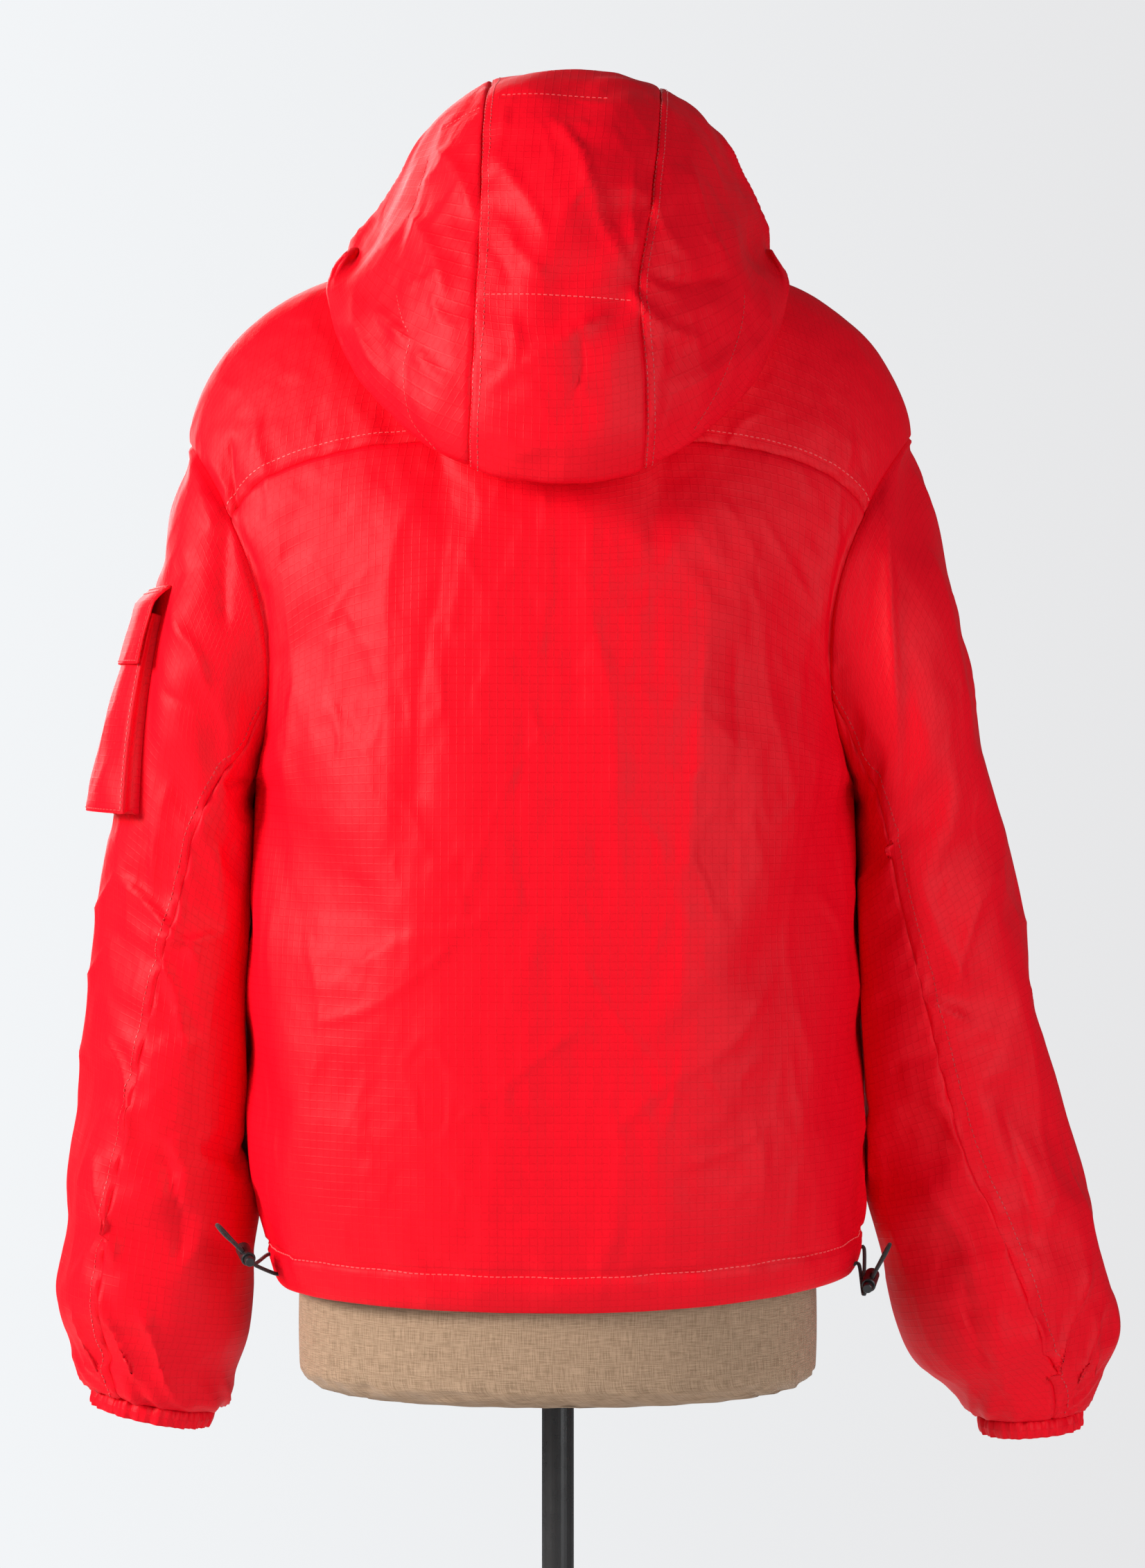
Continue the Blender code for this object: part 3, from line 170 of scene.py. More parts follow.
nylonLook = dict(
    red=(0.84, 0.0008, 0.012), deep=(0.62, 0.0005, 0.007),  # the cloth and its ripstop lines
    roughness=0.52, uneven=0.12, gloss=0.14,
    grid=0.0050, gridWidth=0.0007, gridShare=0.40,
    creases=0.0016, creaseStrength=0.75,      # the depth of a whole crease, and how strongly it shows
    threadDepth=0.03, gridDepth=0.06, crinkleDepth=0.30,   # as shares of a crease's
)


def ripstopNylon(name="red_nylon", elastic=False):
    look = nylonLook
    paint = Paint(name, look["red"], look["roughness"], Specular_IOR_Level=look["gloss"])
    flat = paint.place("UV")
    parts = paint.add("ShaderNodeSeparateXYZ", {}, {0: flat})
    across, along = parts, parts.to("Y")
    grid = paint.line(across, look["grid"], look["gridWidth"]).sum(
        "MAXIMUM", paint.line(along, look["grid"], look["gridWidth"])
    )
    threads = paint.noise(paint.stretch(flat, (2600, 2600, 1)), 1.0, 1.0)
    broken = paint.between(paint.noise(paint.stretch(flat, (700, 700, 1)), 1.0, 1.0), 0.35, 0.6)
    solid = paint.place()
    colour = paint.blend(grid * broken * look["gridShare"], (*look["red"], 1), (*look["deep"], 1))
    rough = look["roughness"] + (paint.noise(solid, 60.0, 2.0) - 0.5) * look["uneven"] - grid * 0.04

    def creased(scale, width, turn):  # sharp shallow creases
        wave = paint.noise(paint.stretch(solid, (1.0, 1.0, 0.55), turn), scale, 1.5, 0.45)
        return paint.between((wave - 0.5).sum("ABSOLUTE", 0.0), 0.0, width, (1.0, 0.0))

    sparse = paint.between(paint.noise(solid, 7.0, 1.0), 0.42, 0.62)  # where the long ones come and go
    creases = creased(13.0, 0.10, (0, 0.5, 0)) * sparse
    creases = creases + creased(31.0, 0.14, (0, -0.6, 0)) * (1.1 - sparse) * 0.5
    crinkle = paint.noise(paint.stretch(solid, (1.0, 1.0, 0.7)), 95.0, 3.0, 0.55)
    height = threads * look["threadDepth"] + grid * look["gridDepth"] + crinkle * look["crinkleDepth"]
    height = height + creases * (0.0 if elastic else 1.0)
    bump = paint.bump(height, look["creaseStrength"], look["creases"])
    return paint.feed(Base_Color=colour, Roughness=rough, Normal=bump)


linenLook = dict(
    light=(0.49, 0.33, 0.215), dark=(0.25, 0.16, 0.095), thread=0.0011, gap=0.0008,
    slub=(1500, 95, 1),   # how fine the uneven threads are, across and along themselves
)


def linenCloth():
    light, dark, slub = linenLook["light"], linenLook["dark"], linenLook["slub"]
    paint = Paint("linen", light, 0.88, Sheen_Weight=0.12, Specular_IOR_Level=0.2)
    where = paint.place("UV")
    warp = paint.noise(paint.stretch(where, slub), 1.0, 2.0)
    weft = paint.noise(paint.stretch(where, (slub[1], slub[0], 1)), 1.0, 2.0)
    parts = paint.add("ShaderNodeSeparateXYZ", {}, {0: where})
    across, along = parts, parts.to("Y")
    weave = paint.line(across, linenLook["thread"], linenLook["gap"]) * 0.5
    weave = weave + paint.line(along, linenLook["thread"], linenLook["gap"]) * 0.5
    threads = warp * 0.5 + weft * 0.5
    colour = paint.blend(paint.between(threads, 0.32, 0.66), (*dark, 1), (*light, 1))
    colour = paint.blend(weave * 0.25, colour, (*dark, 1))
    height = threads * 0.6 + weave * 0.6
    return paint.feed(Base_Color=colour, Normal=paint.bump(height, 0.5, 0.0006))


def blackPlastic(name, roughness=0.38):
    paint = Paint(name, (0.013, 0.013, 0.014), roughness)
    where = paint.place()
    grain = paint.noise(where, 1800.0, 2.0)
    rough = roughness + (paint.noise(where, 120.0, 2.0) - 0.5) * 0.2
    return paint.feed(Roughness=rough, Normal=paint.bump(grain, 0.15, 0.0002))


def blackSteel():
    black, brown = (0.014, 0.013, 0.013), (0.06, 0.045, 0.035)  # the enamel, and where it is worn
    paint = Paint(
        "black_steel", black, 0.22, Specular_IOR_Level=0.6, Coat_Weight=0.4, Coat_Roughness=0.12
    )
    where = paint.place()
    worn = paint.between(paint.noise(paint.stretch(where, (40, 40, 3)), 1.0, 3.0), 0.62, 0.72)
    colour = paint.blend(worn * 0.35, (*black, 1), (*brown, 1))
    rough = 0.2 + paint.noise(where, 90.0, 3.0) * 0.16
    bump = paint.bump(paint.noise(where, 700.0), 0.06, 0.0003)
    return paint.feed(Base_Color=colour, Roughness=rough, Normal=bump)


def zipMetal():
    dark, rubbed = (0.035, 0.034, 0.036), (0.16, 0.15, 0.15)
    paint = Paint("black_zip_metal", dark, 0.3, Metallic=0.85)
    where = paint.place()
    rough = 0.24 + paint.noise(where, 400.0, 3.0) * 0.2
    edge = paint.between(paint.noise(where, 260.0, 2.0), 0.58, 0.7)
    colour = paint.blend(edge * 0.5, (*dark, 1), (*rubbed, 1))
    return paint.feed(Base_Color=colour, Roughness=rough)


def zipTape():
    paint = Paint("zip_red", (0.34, 0.004, 0.010), 0.62)
    where = paint.place()
    ribs = paint.line(paint.add("ShaderNodeSeparateXYZ", {}, {0: where}).to("Z"), 0.0011, 0.0007)
    return paint.feed(Normal=paint.bump(ribs + paint.noise(where, 900.0) * 0.5, 0.4, 0.0003))


def braidedCord():
    paint = Paint("black_cord", (0.016, 0.016, 0.017), 0.72, Sheen_Weight=0.2)
    where = paint.place()
    braid = paint.add("ShaderNodeTexVoronoi", {}, dict(Vector=where, Scale=1500.0))
    colour = paint.blend(paint.between(braid, 0.1, 0.7), (0.03, 0.03, 0.031, 1), (0.008, 0.008, 0.008, 1))
    return paint.feed(Base_Color=colour, Normal=paint.bump(1 - braid, 0.6, 0.0005))


def threadLook(name, colour):
    paint = Paint(name, colour, 0.5, Sheen_Weight=0.3)
    twist = paint.noise(paint.stretch(paint.place(), (1400, 1400, 1400)), 1.0, 1.0)
    return paint.feed(Normal=paint.bump(twist, 0.4, 0.0002))


# Cloth panels as grids of points: rows run up or along a panel, columns across it

def unit(vector):
    vector = np.asarray(vector, float)
    return vector / max(np.linalg.norm(vector), 1e-12)


def splineWeights(knots, places):
    # Shares of the known rows that each wanted place takes, on a smooth curve through them.
    knots = np.asarray(knots, float)
    count = len(knots)
    weights = np.zeros((len(places), count))
    steps = np.diff(knots)
    slopes = np.zeros((count, count))  # slope at each knot from the rows round it
    for k in range(1, count - 1):
        before, after = steps[k - 1], steps[k]
        slopes[k, k - 1] = -after / before / (before + after)
        slopes[k, k + 1] = before / after / (before + after)
        slopes[k, k] = -slopes[k, k - 1] - slopes[k, k + 1]
    slopes[0, 0], slopes[0, 1] = -1 / steps[0], 1 / steps[0]
    slopes[-1, -2], slopes[-1, -1] = -1 / steps[-1], 1 / steps[-1]
    for i, place in enumerate(places):
        k = int(np.clip(np.searchsorted(knots, place, side="right") - 1, 0, count - 2))
        width = steps[k]
        t = (place - knots[k]) / width
        weights[i, k] += 2 * t**3 - 3 * t**2 + 1
        weights[i, k + 1] += 3 * t**2 - 2 * t**3
        weights[i] += (t**3 - 2 * t**2 + t) * width * slopes[k] + (t**3 - t**2) * width * slopes[k + 1]
    return weights


def refine(grid, rowKnots, rowPlaces, columnKnots, columnPlaces):
    down, over = splineWeights(rowKnots, rowPlaces), splineWeights(columnKnots, columnPlaces)
    return np.einsum("ia,jb,abk->ijk", down, over, grid)


def spacing(length, step, near=(), far=()):
    # Distances along a panel: close together at its two ends, even between.
    first, last = (max(side) if len(side) else 0.0 for side in (near, far))
    count = max(int(round((length - first - last) / step)), 1)
    inside = np.linspace(first, length - last, count + 1)
    return np.unique(np.round([0.0, *near, *inside, *(length - d for d in far), length], 6))


def lengthsAlong(grid, axis):
    # Mean distance travelled along an axis of a grid.
    steps = np.linalg.norm(np.diff(grid, axis=axis), axis=2).mean(axis=1 - axis)
    return np.concatenate([[0.0], np.cumsum(steps)])


def lengthsOf(points):  # distance travelled to each point of a line
    return np.concatenate([[0.0], np.cumsum(np.linalg.norm(np.diff(points, axis=0), axis=1))])


def readLine(places, lengths, points):  # the points, or values, at these distances along a line
    return np.stack([np.interp(places, lengths, points[:, k]) for k in range(3)], axis=-1)


def gridFaces(rows, columns, closed=False):
    # Numbers of a grid's points, and its faces; closed when its columns run all the way round.
    index = np.arange(rows * columns).reshape(rows, columns)
    over = np.roll(index, -1, axis=1)
    quads = np.stack([index[:-1], over[:-1], over[1:], index[1:]], axis=-1)
    return index, (quads if closed else quads[:, :-1]).reshape(-1, 4)


def gridNormals(points, away):
    # Outward normals; away gives the middle that they point away from.
    down = np.gradient(points, axis=0)
    over = np.gradient(points, axis=1)
    normals = np.cross(down, over)
    size = np.linalg.norm(normals, axis=2, keepdims=True)
    normals = normals / np.maximum(size, 1e-12)
    if np.mean(np.sum(normals * (points - away), axis=2)) < 0:
        normals = -normals
    return normals


def ease(values):
    values = np.clip(values, 0.0, 1.0)
    return values * values * (3 - 2 * values)


def ripple(distance, pitch, seed):
    # Smooth random wave along a seam, from -1 to 1.
    random = np.random.default_rng(seed)
    count = int(np.max(distance) / pitch) + 4
    knots = np.cumsum(random.uniform(0.6, 1.5, count)) * pitch - pitch
    heights = random.uniform(0.35, 1.0, count) * np.where(np.arange(count) % 2, 1, -1)
    flat = np.clip(distance, knots[0], knots[-1])
    k = np.clip(np.searchsorted(knots, flat) - 1, 0, count - 2)
    share = (flat - knots[k]) / (knots[k + 1] - knots[k])
    return heights[k] + (heights[k + 1] - heights[k]) * ease(share)


def softNoise(points, scale, seed, stretch=(1, 1, 1)):
    # Rolling noise over a grid, from about -1 to 1.
    shift = Vector((seed * 3.7, seed * 1.3, seed * 7.1))
    flat = (points * np.array(stretch) * scale).reshape(-1, 3)
    values = np.array([noise.noise(Vector(p) + shift) for p in flat])
    return values.reshape(points.shape[:2])


def alongLine(points, line):
    # Distance, signed side and share along of each point from a line of straight runs.
    best = np.full(points.shape[:-1], 1e9)
    side, share = np.zeros(best.shape), np.zeros(best.shape)
    line = np.asarray(line, float)
    runs = np.linalg.norm(np.diff(line, axis=0), axis=1)
    total, gone = runs.sum(), 0.0
    for start, end, run in zip(line, line[1:], runs):
        along = (end - start) / run
        across = np.array([-along[1], along[0]])
        offset = points - start
        t = np.clip(offset @ along, 0, run)
        gap = np.linalg.norm(offset - t[..., None] * along, axis=-1)
        nearer = gap < best
        best = np.where(nearer, gap, best)
        side = np.where(nearer, np.sign(offset @ across), side)
        share = np.where(nearer, (gone + t) / total, share)
        gone += run
    return best, side, share


def smoothLine(points, per=6):
    points = np.asarray(points, float)
    places = np.linspace(0, len(points) - 1, per * (len(points) - 1) + 1)
    return splineWeights(np.arange(len(points)), places) @ points


seenFrom = {  # the plane a fold is drawn on, and the direction that it faces
    "back": ((0, 2), (0, 1, 0)), "front": ((0, 2), (0, -1, 0)),
    "left": ((1, 2), (1, 0, 0)), "right": ((1, 2), (-1, 0, 0)),
}


foldShape = dict(reach=5, crest=0.45, blunt=0.07, taper=4, least=0.12)


def foldHeights(points, normals, folds):
    # Height of the listed folds.
    shape, blunt = foldShape, foldShape["blunt"]
    total = np.zeros(points.shape[:2])
    for view, (width, height, lean, *line) in ((view, fold) for view, rows in folds.items() for fold in rows):
        axes, facing = seenFrom[view]
        line, width, height = smoothLine(line) / 1000, width / 1000, height / 1000
        flat, reach = points[..., axes], shape["reach"] * width
        mask = ease((normals @ np.array(facing, float) - 0.05) / 0.4)
        inside = (flat > line.min(axis=0) - reach) & (flat < line.max(axis=0) + reach)
        near = (mask > 0) & np.all(inside, axis=-1)
        if not near.any():
            continue
        gap, side, share = alongLine(flat[near], line)
        wide = shape["crest"] * width * (1 + lean * np.where(side > 0, 1, -1))
        profile = np.exp(blunt - np.sqrt((gap / wide) ** 2 + blunt**2))
        taper = ease(np.minimum(share, 1 - share) * shape["taper"] + shape["least"])
        total[near] += height * profile * taper * mask[near]
    return total


def placed(name, data):
    made = bpy.data.objects.new(name, data)
    bpy.context.scene.collection.objects.link(made)
    return made


def addMesh(name, points, faces, material, flat=None):
    # A mesh object; flat gives each point's place on the cloth in metres, and makes it smooth.
    mesh = bpy.data.meshes.new(name)
    mesh.from_pydata(np.reshape(points, (-1, 3)).tolist(), [], faces)
    mesh.materials.append(material)
    if flat is not None:
        loops = np.empty(len(mesh.loops), int)
        mesh.loops.foreach_get("vertex_index", loops)
        layer = mesh.uv_layers.new(name="cloth")
        layer.data.foreach_set("uv", np.reshape(flat, (-1, 2))[loops].ravel())
        mesh.polygons.foreach_set("use_smooth", np.ones(len(mesh.polygons), bool))
    return placed(name, mesh)


def simulate(name, grid, pinned, cloth):
    # Lets a panel swell and wrinkle between its seams. Returns how far each point moved.
    rows, columns = grid.shape[:2]
    mesh = bpy.data.meshes.new(name)
    index, faces = gridFaces(rows, columns)
    mesh.from_pydata(grid.reshape(-1, 3).tolist(), [], faces.tolist())
    panel = placed(name, mesh)
    normal = mesh.polygons[len(mesh.polygons) // 2].normal
    if np.dot(normal, cloth["outward"]) < 0:
        mesh.flip_normals()
    group = panel.vertex_groups.new(name="held")
    for level in np.unique(pinned):
        if level > 0:
            group.add(index[pinned == level].tolist(), float(level), "REPLACE")
    modifier = panel.modifiers.new("Cloth", "CLOTH")
    settings = modifier.settings
    settings.quality = 5
    settings.mass = 0.12
    settings.tension_stiffness = settings.compression_stiffness = cloth["stiffness"]
    settings.shear_stiffness = cloth["stiffness"] * 0.4
    settings.bending_stiffness = cloth["bending"]
    settings.tension_damping = settings.compression_damping = 10
    settings.bending_damping = 1.0
    settings.air_damping = 3.0
    settings.vertex_group_mass = "held"
    settings.shrink_min = -cloth["spare"]
    settings.shrink_max = -cloth["spare"]
    settings.use_pressure = True
    settings.uniform_pressure_force = cloth["pressure"]
    settings.effector_weights.gravity = cloth["gravity"]
    modifier.collision_settings.use_collision = False
    modifier.collision_settings.use_self_collision = False
    modifier.point_cache.frame_start, modifier.point_cache.frame_end = 1, cloth["frames"] + 1
    scene = bpy.context.scene
    for step in range(1, cloth["frames"] + 1):
        scene.frame_set(step)
    graph = bpy.context.evaluated_depsgraph_get()
    result = panel.evaluated_get(graph).data
    moved = np.empty(rows * columns * 3)
    result.vertices.foreach_get("co", moved)
    bpy.data.objects.remove(panel)
    bpy.data.meshes.remove(mesh)
    scene.frame_set(1)
    return moved.reshape(rows, columns, 3) - grid


class Panel:
    # One piece of cloth while it is shaped: points, outward normals and distances from its edges.
    def __init__(self, name, points, away):
        self.name, self.points, self.away, self.outward = name, points, away, None
        self.measure()

    def measure(self):
        self.normals = gridNormals(self.points, self.away)
        across = np.linalg.norm(np.diff(self.points, axis=1), axis=2)
        down = np.linalg.norm(np.diff(self.points, axis=0), axis=2)
        self.across = np.concatenate([np.zeros((len(self.points), 1)), np.cumsum(across, axis=1)], axis=1)
        self.down = np.concatenate([np.zeros((1, self.points.shape[1])), np.cumsum(down, axis=0)], axis=0)

    def fromEdge(self, edge):
        return {
            "first": self.across, "last": self.across[:, -1:] - self.across,
            "low": self.down, "high": self.down[-1:] - self.down,
        }[edge]

    def risesFrom(self, edge, reach):  # 0 at that edge, 1 from this far on
        return ease(self.fromEdge(edge) / reach)

    def lengthOf(self, edge):  # how far along that edge each point is
        return self.down if edge in ("first", "last") else self.across

    def push(self, heights):
        outward = self.normals if self.outward is None else self.outward
        self.points = self.points + outward * heights[..., None]
        self.measure()

    def edgeOf(self, grid, edge):
        return {"first": grid[:, 0], "last": grid[:, -1], "low": grid[0], "high": grid[-1]}[edge]

    def sideBy(self, edges, axis, pick=max):  # the edge that lies furthest along an axis
        return pick(edges, key=lambda edge: self.edgeOf(self.points[..., axis], edge).mean())

    def line(self, edge, distance, start=0.0, end=1.0):
        # Points and normals of a row of stitches that keeps this distance from an edge.
        away = self.fromEdge(edge)
        points, normals = self.points, self.normals
        if edge in ("low", "high"):
            away, points, normals = away.T, points.swapaxes(0, 1), normals.swapaxes(0, 1)
        found, facing = [], []
        for i in range(len(away)):
            order = np.argsort(away[i])
            found.append(readLine(distance, away[i][order], points[i][order]))
            facing.append(readLine(distance, away[i][order], normals[i][order]))
        first, last = int(start * (len(found) - 1)), int(end * (len(found) - 1)) + 1
        return np.array(found)[first:last], np.array(facing)[first:last]


seamLook = dict(reach=0.009, shared=0.007)   # between two edges; how far a shared direction goes


def sewTogether(panels, seamEdges):
    # Gives panels that meet at a seam one shared direction there, so that their edges stay together.
    reach = seamLook["reach"]
    spots, facing, owner = [], [], []
    for name, edges in seamEdges.items():
        for edge in edges:
            spots.append(panels[name].edgeOf(panels[name].points, edge))
            facing.append(panels[name].edgeOf(panels[name].normals, edge))
            owner += [name] * len(spots[-1])
    spots, facing, owner = np.concatenate(spots), np.concatenate(facing), np.array(owner)
    tree = kdtree.KDTree(len(spots))
    for i, spot in enumerate(spots):
        tree.insert(spot, i)
    tree.balance()
    shared = np.empty(spots.shape)
    for i, spot in enumerate(spots):
        nearest = {owner[i]: (0.0, i)}
        for _, k, gap in tree.find_range(spot, reach):
            if owner[k] != owner[i] and gap < nearest.get(owner[k], (reach * 2,))[0]:
                nearest[owner[k]] = (gap, k)
        shared[i] = unit(sum(facing[k] for _, k in nearest.values()))
    start = 0
    for name, edges in seamEdges.items():
        panel = panels[name]
        pull, weights = np.zeros(panel.points.shape), np.full(panel.points.shape[:2], 1e-9)
        for edge in edges:
            count = len(panel.edgeOf(panel.points, edge))
            line = shared[start:start + count]
            start += count
            weight = np.exp(-((panel.fromEdge(edge) / seamLook["shared"]) ** 2))
            spread = line[:, None, :] if edge in ("first", "last") else line[None, :, :]
            pull += spread * weight[..., None] ** 2
            weights += weight**2
        weight = np.clip(weights, 0, 1)[..., None]
        mixed = panel.normals * (1 - weight) + pull / weights[..., None] * weight
        panel.outward = mixed / np.linalg.norm(mixed, axis=2, keepdims=True)


def grooveAt(distance, middle, width, depth):
    return -depth * np.exp(-(((distance - middle) / width) ** 2))


def stitchPuckers(panel, edge, middle, height, pitch, reach, seed):
    # Small gathers that fade away from a stitched line.
    away = panel.fromEdge(edge)
    along = panel.lengthOf(edge)
    fade = np.exp(-(np.abs(away - middle) / reach)) * ease(np.abs(away - middle) / 0.004 + 0.25)
    return height * fade * ripple(along + 0.15 * away, pitch, seed)


def shell(panel, thick, material):
    # A closed wall of this thickness inside the panel's face, with metres as its UV map.
    outer = panel.points
    normals = panel.normals if panel.outward is None else panel.outward
    rows, columns = outer.shape[:2]
    inner = outer - normals * thick
    count = rows * columns
    index, quads = gridFaces(rows, columns)
    rim = np.concatenate([index[0, :-1], index[:-1, -1], index[-1, :0:-1], index[:0:-1, 0]])
    sides = np.stack([rim, np.roll(rim, -1), np.roll(rim, -1) + count, rim + count], axis=-1)
    quad = quads[len(quads) // 2]
    corners, facing = outer.reshape(-1, 3)[quad], normals.reshape(-1, 3)[quad[0]]
    if np.cross(corners[1] - corners[0], corners[2] - corners[1]) @ facing < 0:
        quads, sides = quads[:, ::-1], sides[:, ::-1]
    faces = np.concatenate([quads, quads[:, ::-1] + count, sides[:, ::-1]])
    middle = columns // 2
    across = panel.across - panel.across[:, middle:middle + 1]
    down = np.repeat(panel.down.mean(axis=1, keepdims=True), columns, axis=1)
    flat = np.stack([across, down], axis=-1)
    points, flat = np.concatenate([outer, inner]), np.concatenate([flat, flat])
    return addMesh(panel.name, points, faces.tolist(), material, flat)


stitchFaces = ((0, 1, 3, 2), (2, 3, 5, 4), (4, 5, 7, 6), (0, 2, 4, 6), (1, 7, 5, 3), (0, 6, 7, 1))


def stitches(name, tracks, thread, look):
    # Rows of short raised stitches as one mesh; each track is points and normals along a seam.
    verts, faces = [], []
    profile = [(0, 0), (0.18, 1.1), (0.82, 1.1), (1, 0)]  # share of its length, and of its height
    for points, normals in tracks:
        lengths = lengthsOf(points)
        for start in np.arange(0, lengths[-1] - look["length"], look["pitch"]):
            ends = [readLine(place, lengths, points) for place in (start, start + look["length"])]
            out = unit(readLine(start, lengths, normals))
            along = unit(ends[1] - ends[0])
            side = np.cross(out, along)
            base = len(verts)
            for share, rise in profile:
                middle = ends[0] * (1 - share) + ends[1] * share
                middle = middle + out * (rise * look["height"] - look["sunk"])
                verts += [middle - side * look["width"] / 2, middle + side * look["width"] / 2]
            faces += [[base + corner for corner in corners] for corners in stitchFaces]
    made = addMesh(name, verts, faces, thread)
    made.data.validate()
    return made


sleeveClearance = 0.0030  # between a hanging sleeve and the body's side
hoodClearance = 0.0090    # between the drooping hood and the shoulders

frontOpening = 0.0066  # centre front, where the zip lies
zipWidth = 0.0058
zipProud = 0.0002
zipBottomZ, zipTopZ = 0.7815, 1.362
formBottomZ = 0.712

neckShare = 0.332             # half width of the neck, as a share of the shoulder's
neckSide = (-0.010, 1.448)    # y, z where the shoulder seam meets the neck
neckBack = (0.072, 1.432)     # y, z at centre back
neckFront = (-0.088, 1.374)   # y, z at centre front
shoulderSeamTurn = -14.0     # degrees forward of the armhole's top
archPower, archRound = 3.6, 0.62   # how the shoulder line drops towards its tip
bodySquareness = 2.5

# Armholes: outer top point and inner underarm point (x, z), half depth in y, and how far the
# back and front edges scoop in towards the body.
armholes = {
    "left": dict(top=(0.2410, 1.3265), under=(0.1965, 1.105), depth=0.076, scoop=0.030),
    "right": dict(top=(0.2315, 1.3315), under=(0.1925, 1.105), depth=0.076, scoop=0.036),
}

# Body rings from the hem to the underarm: height, half widths to each side, half depths.
bodyRings = [
    # z,     left,   right,  back,   front
    (0.7745, 0.1815, 0.1935, 0.1330, 0.1300),
    (0.7880, 0.1850, 0.1965, 0.1360, 0.1330),
    (0.8010, 0.1885, 0.1990, 0.1385, 0.1355),
    (0.8300, 0.1965, 0.2015, 0.1440, 0.1400),
    (0.8700, 0.2020, 0.2015, 0.1460, 0.1420),
    (0.9500, 0.2040, 0.1985, 0.1450, 0.1410),
    (1.0300, 0.2010, 0.1955, 0.1430, 0.1390),
    (1.1050, 0.1965, 0.1925, 0.1400, 0.1360),
]
hemRise = dict(left=0.006, right=0.014)   # how much higher the hem is at each side

# Upper body, underarm to shoulder seam: turn round the armhole; centre height, height half way
# to the armhole and centre depth of the back, then of the front; and how far the row has taken
# on the shoulder line's shape.
upperRows = [
    # turn, back z, side z, back y, front z, side z, front y, shoulder
    (180.0, 1.105, 1.105, 0.1400, 1.105, 1.105, -0.1360, 0.00),
    (140.0, 1.165, 1.165, 0.1370, 1.150, 1.151, -0.1330, 0.02),
    (105.0, 1.235, 1.235, 0.1310, 1.205, 1.208, -0.1280, 0.06),
    (78.0, 1.272, 1.274, 0.1255, 1.250, 1.262, -0.1220, 0.14),
    (58.0, 1.302, 1.306, 0.1195, 1.285, 1.308, -0.1150, 0.24),
    (40.0, 1.352, 1.362, 0.1095, 1.315, 1.345, -0.1060, 0.42),
    (20.0, 1.400, 1.418, 0.0930, 1.345, 1.376, -0.0980, 0.66),
    (shoulderSeamTurn, neckBack[1], neckSide[1], neckBack[0],
     neckFront[1], 1.350, neckFront[0], 1.00),
]
neckDipShare = 0.5   # how far across the centre heights reach
# Places in upperRows where the panels and the armhole seam have their rows.
upperPlaces = (0.25, 0.5, 0.75, 1.0, 1.5, 2.0, 2.5, 3.0, 3.5, 4.0, 5.0, 6.0, 6.5, 7.0)
yokePlace = 4.0        # the yoke seam
sleeveSeamPlace = 1.5  # where the sleeve's back and front seams meet the armhole

# Sleeve sections: outer point and inner point (x, z), half depth, y of the middle, the turn of
# the back seam from the outer point, and squareness of the section.
sleeveRings = {
    "left": [
        # outer x, outer z, inner x, inner z, depth,  y mid,  seam,  square
        (0.2550, 1.2760, 0.1990, 1.0900, 0.0800, -0.001, 128.0, 2.1),
        (0.2640, 1.2300, 0.1960, 1.0750, 0.0800, -0.003, 118.0, 2.2),
        (0.2750, 1.1800, 0.1950, 1.0580, 0.0780, -0.005, 108.0, 2.2),
        (0.2840, 1.1350, 0.1940, 1.0350, 0.0760, -0.008, 98.0, 2.2),
        (0.2925, 1.0800, 0.1930, 1.0000, 0.0740, -0.011, 92.0, 2.2),
        (0.3000, 1.0200, 0.1930, 0.9580, 0.0730, -0.014, 84.0, 2.2),
        (0.3085, 0.9550, 0.1930, 0.9050, 0.0720, -0.017, 76.0, 2.2),
        (0.3170, 0.8900, 0.1950, 0.8500, 0.0710, -0.020, 70.0, 2.2),
        (0.3250, 0.8300, 0.2000, 0.8000, 0.0700, -0.022, 66.0, 2.2),
        (0.3300, 0.7750, 0.2035, 0.7550, 0.0680, -0.024, 64.0, 2.2),
        (0.3270, 0.7330, 0.2060, 0.7180, 0.0620, -0.026, 64.0, 2.2),
        (0.3180, 0.7130, 0.2145, 0.6970, 0.0540, -0.027, 66.0, 2.2),
        (0.3080, 0.7070, 0.2270, 0.6895, 0.0460, -0.027, 68.0, 2.2),
    ],
    "right": [
        (0.2485, 1.2800, 0.1950, 1.0900, 0.0800, -0.001, 136.0, 2.1),
        (0.2600, 1.2360, 0.1930, 1.0750, 0.0810, -0.003, 130.0, 2.2),
        (0.2715, 1.1880, 0.1920, 1.0580, 0.0800, -0.005, 124.0, 2.2),
        (0.2820, 1.1380, 0.1910, 1.0350, 0.0780, -0.008, 118.0, 2.2),
        (0.2925, 1.0850, 0.1900, 1.0000, 0.0760, -0.011, 112.0, 2.2),
        (0.3050, 1.0250, 0.1900, 0.9580, 0.0750, -0.014, 104.0, 2.2),
        (0.3185, 0.9600, 0.1920, 0.9050, 0.0740, -0.017, 98.0, 2.2),
        (0.3335, 0.8950, 0.2000, 0.8500, 0.0730, -0.020, 94.0, 2.2),
        (0.3485, 0.8350, 0.2130, 0.8000, 0.0720, -0.022, 88.0, 2.2),
        (0.3620, 0.7800, 0.2240, 0.7500, 0.0700, -0.024, 82.0, 2.2),
        (0.3705, 0.7350, 0.2400, 0.7130, 0.0640, -0.026, 78.0, 2.2),
        (0.3630, 0.7070, 0.2590, 0.6970, 0.0540, -0.027, 76.0, 2.2),
        (0.3470, 0.6910, 0.2780, 0.6850, 0.0440, -0.027, 74.0, 2.2),
    ],
}
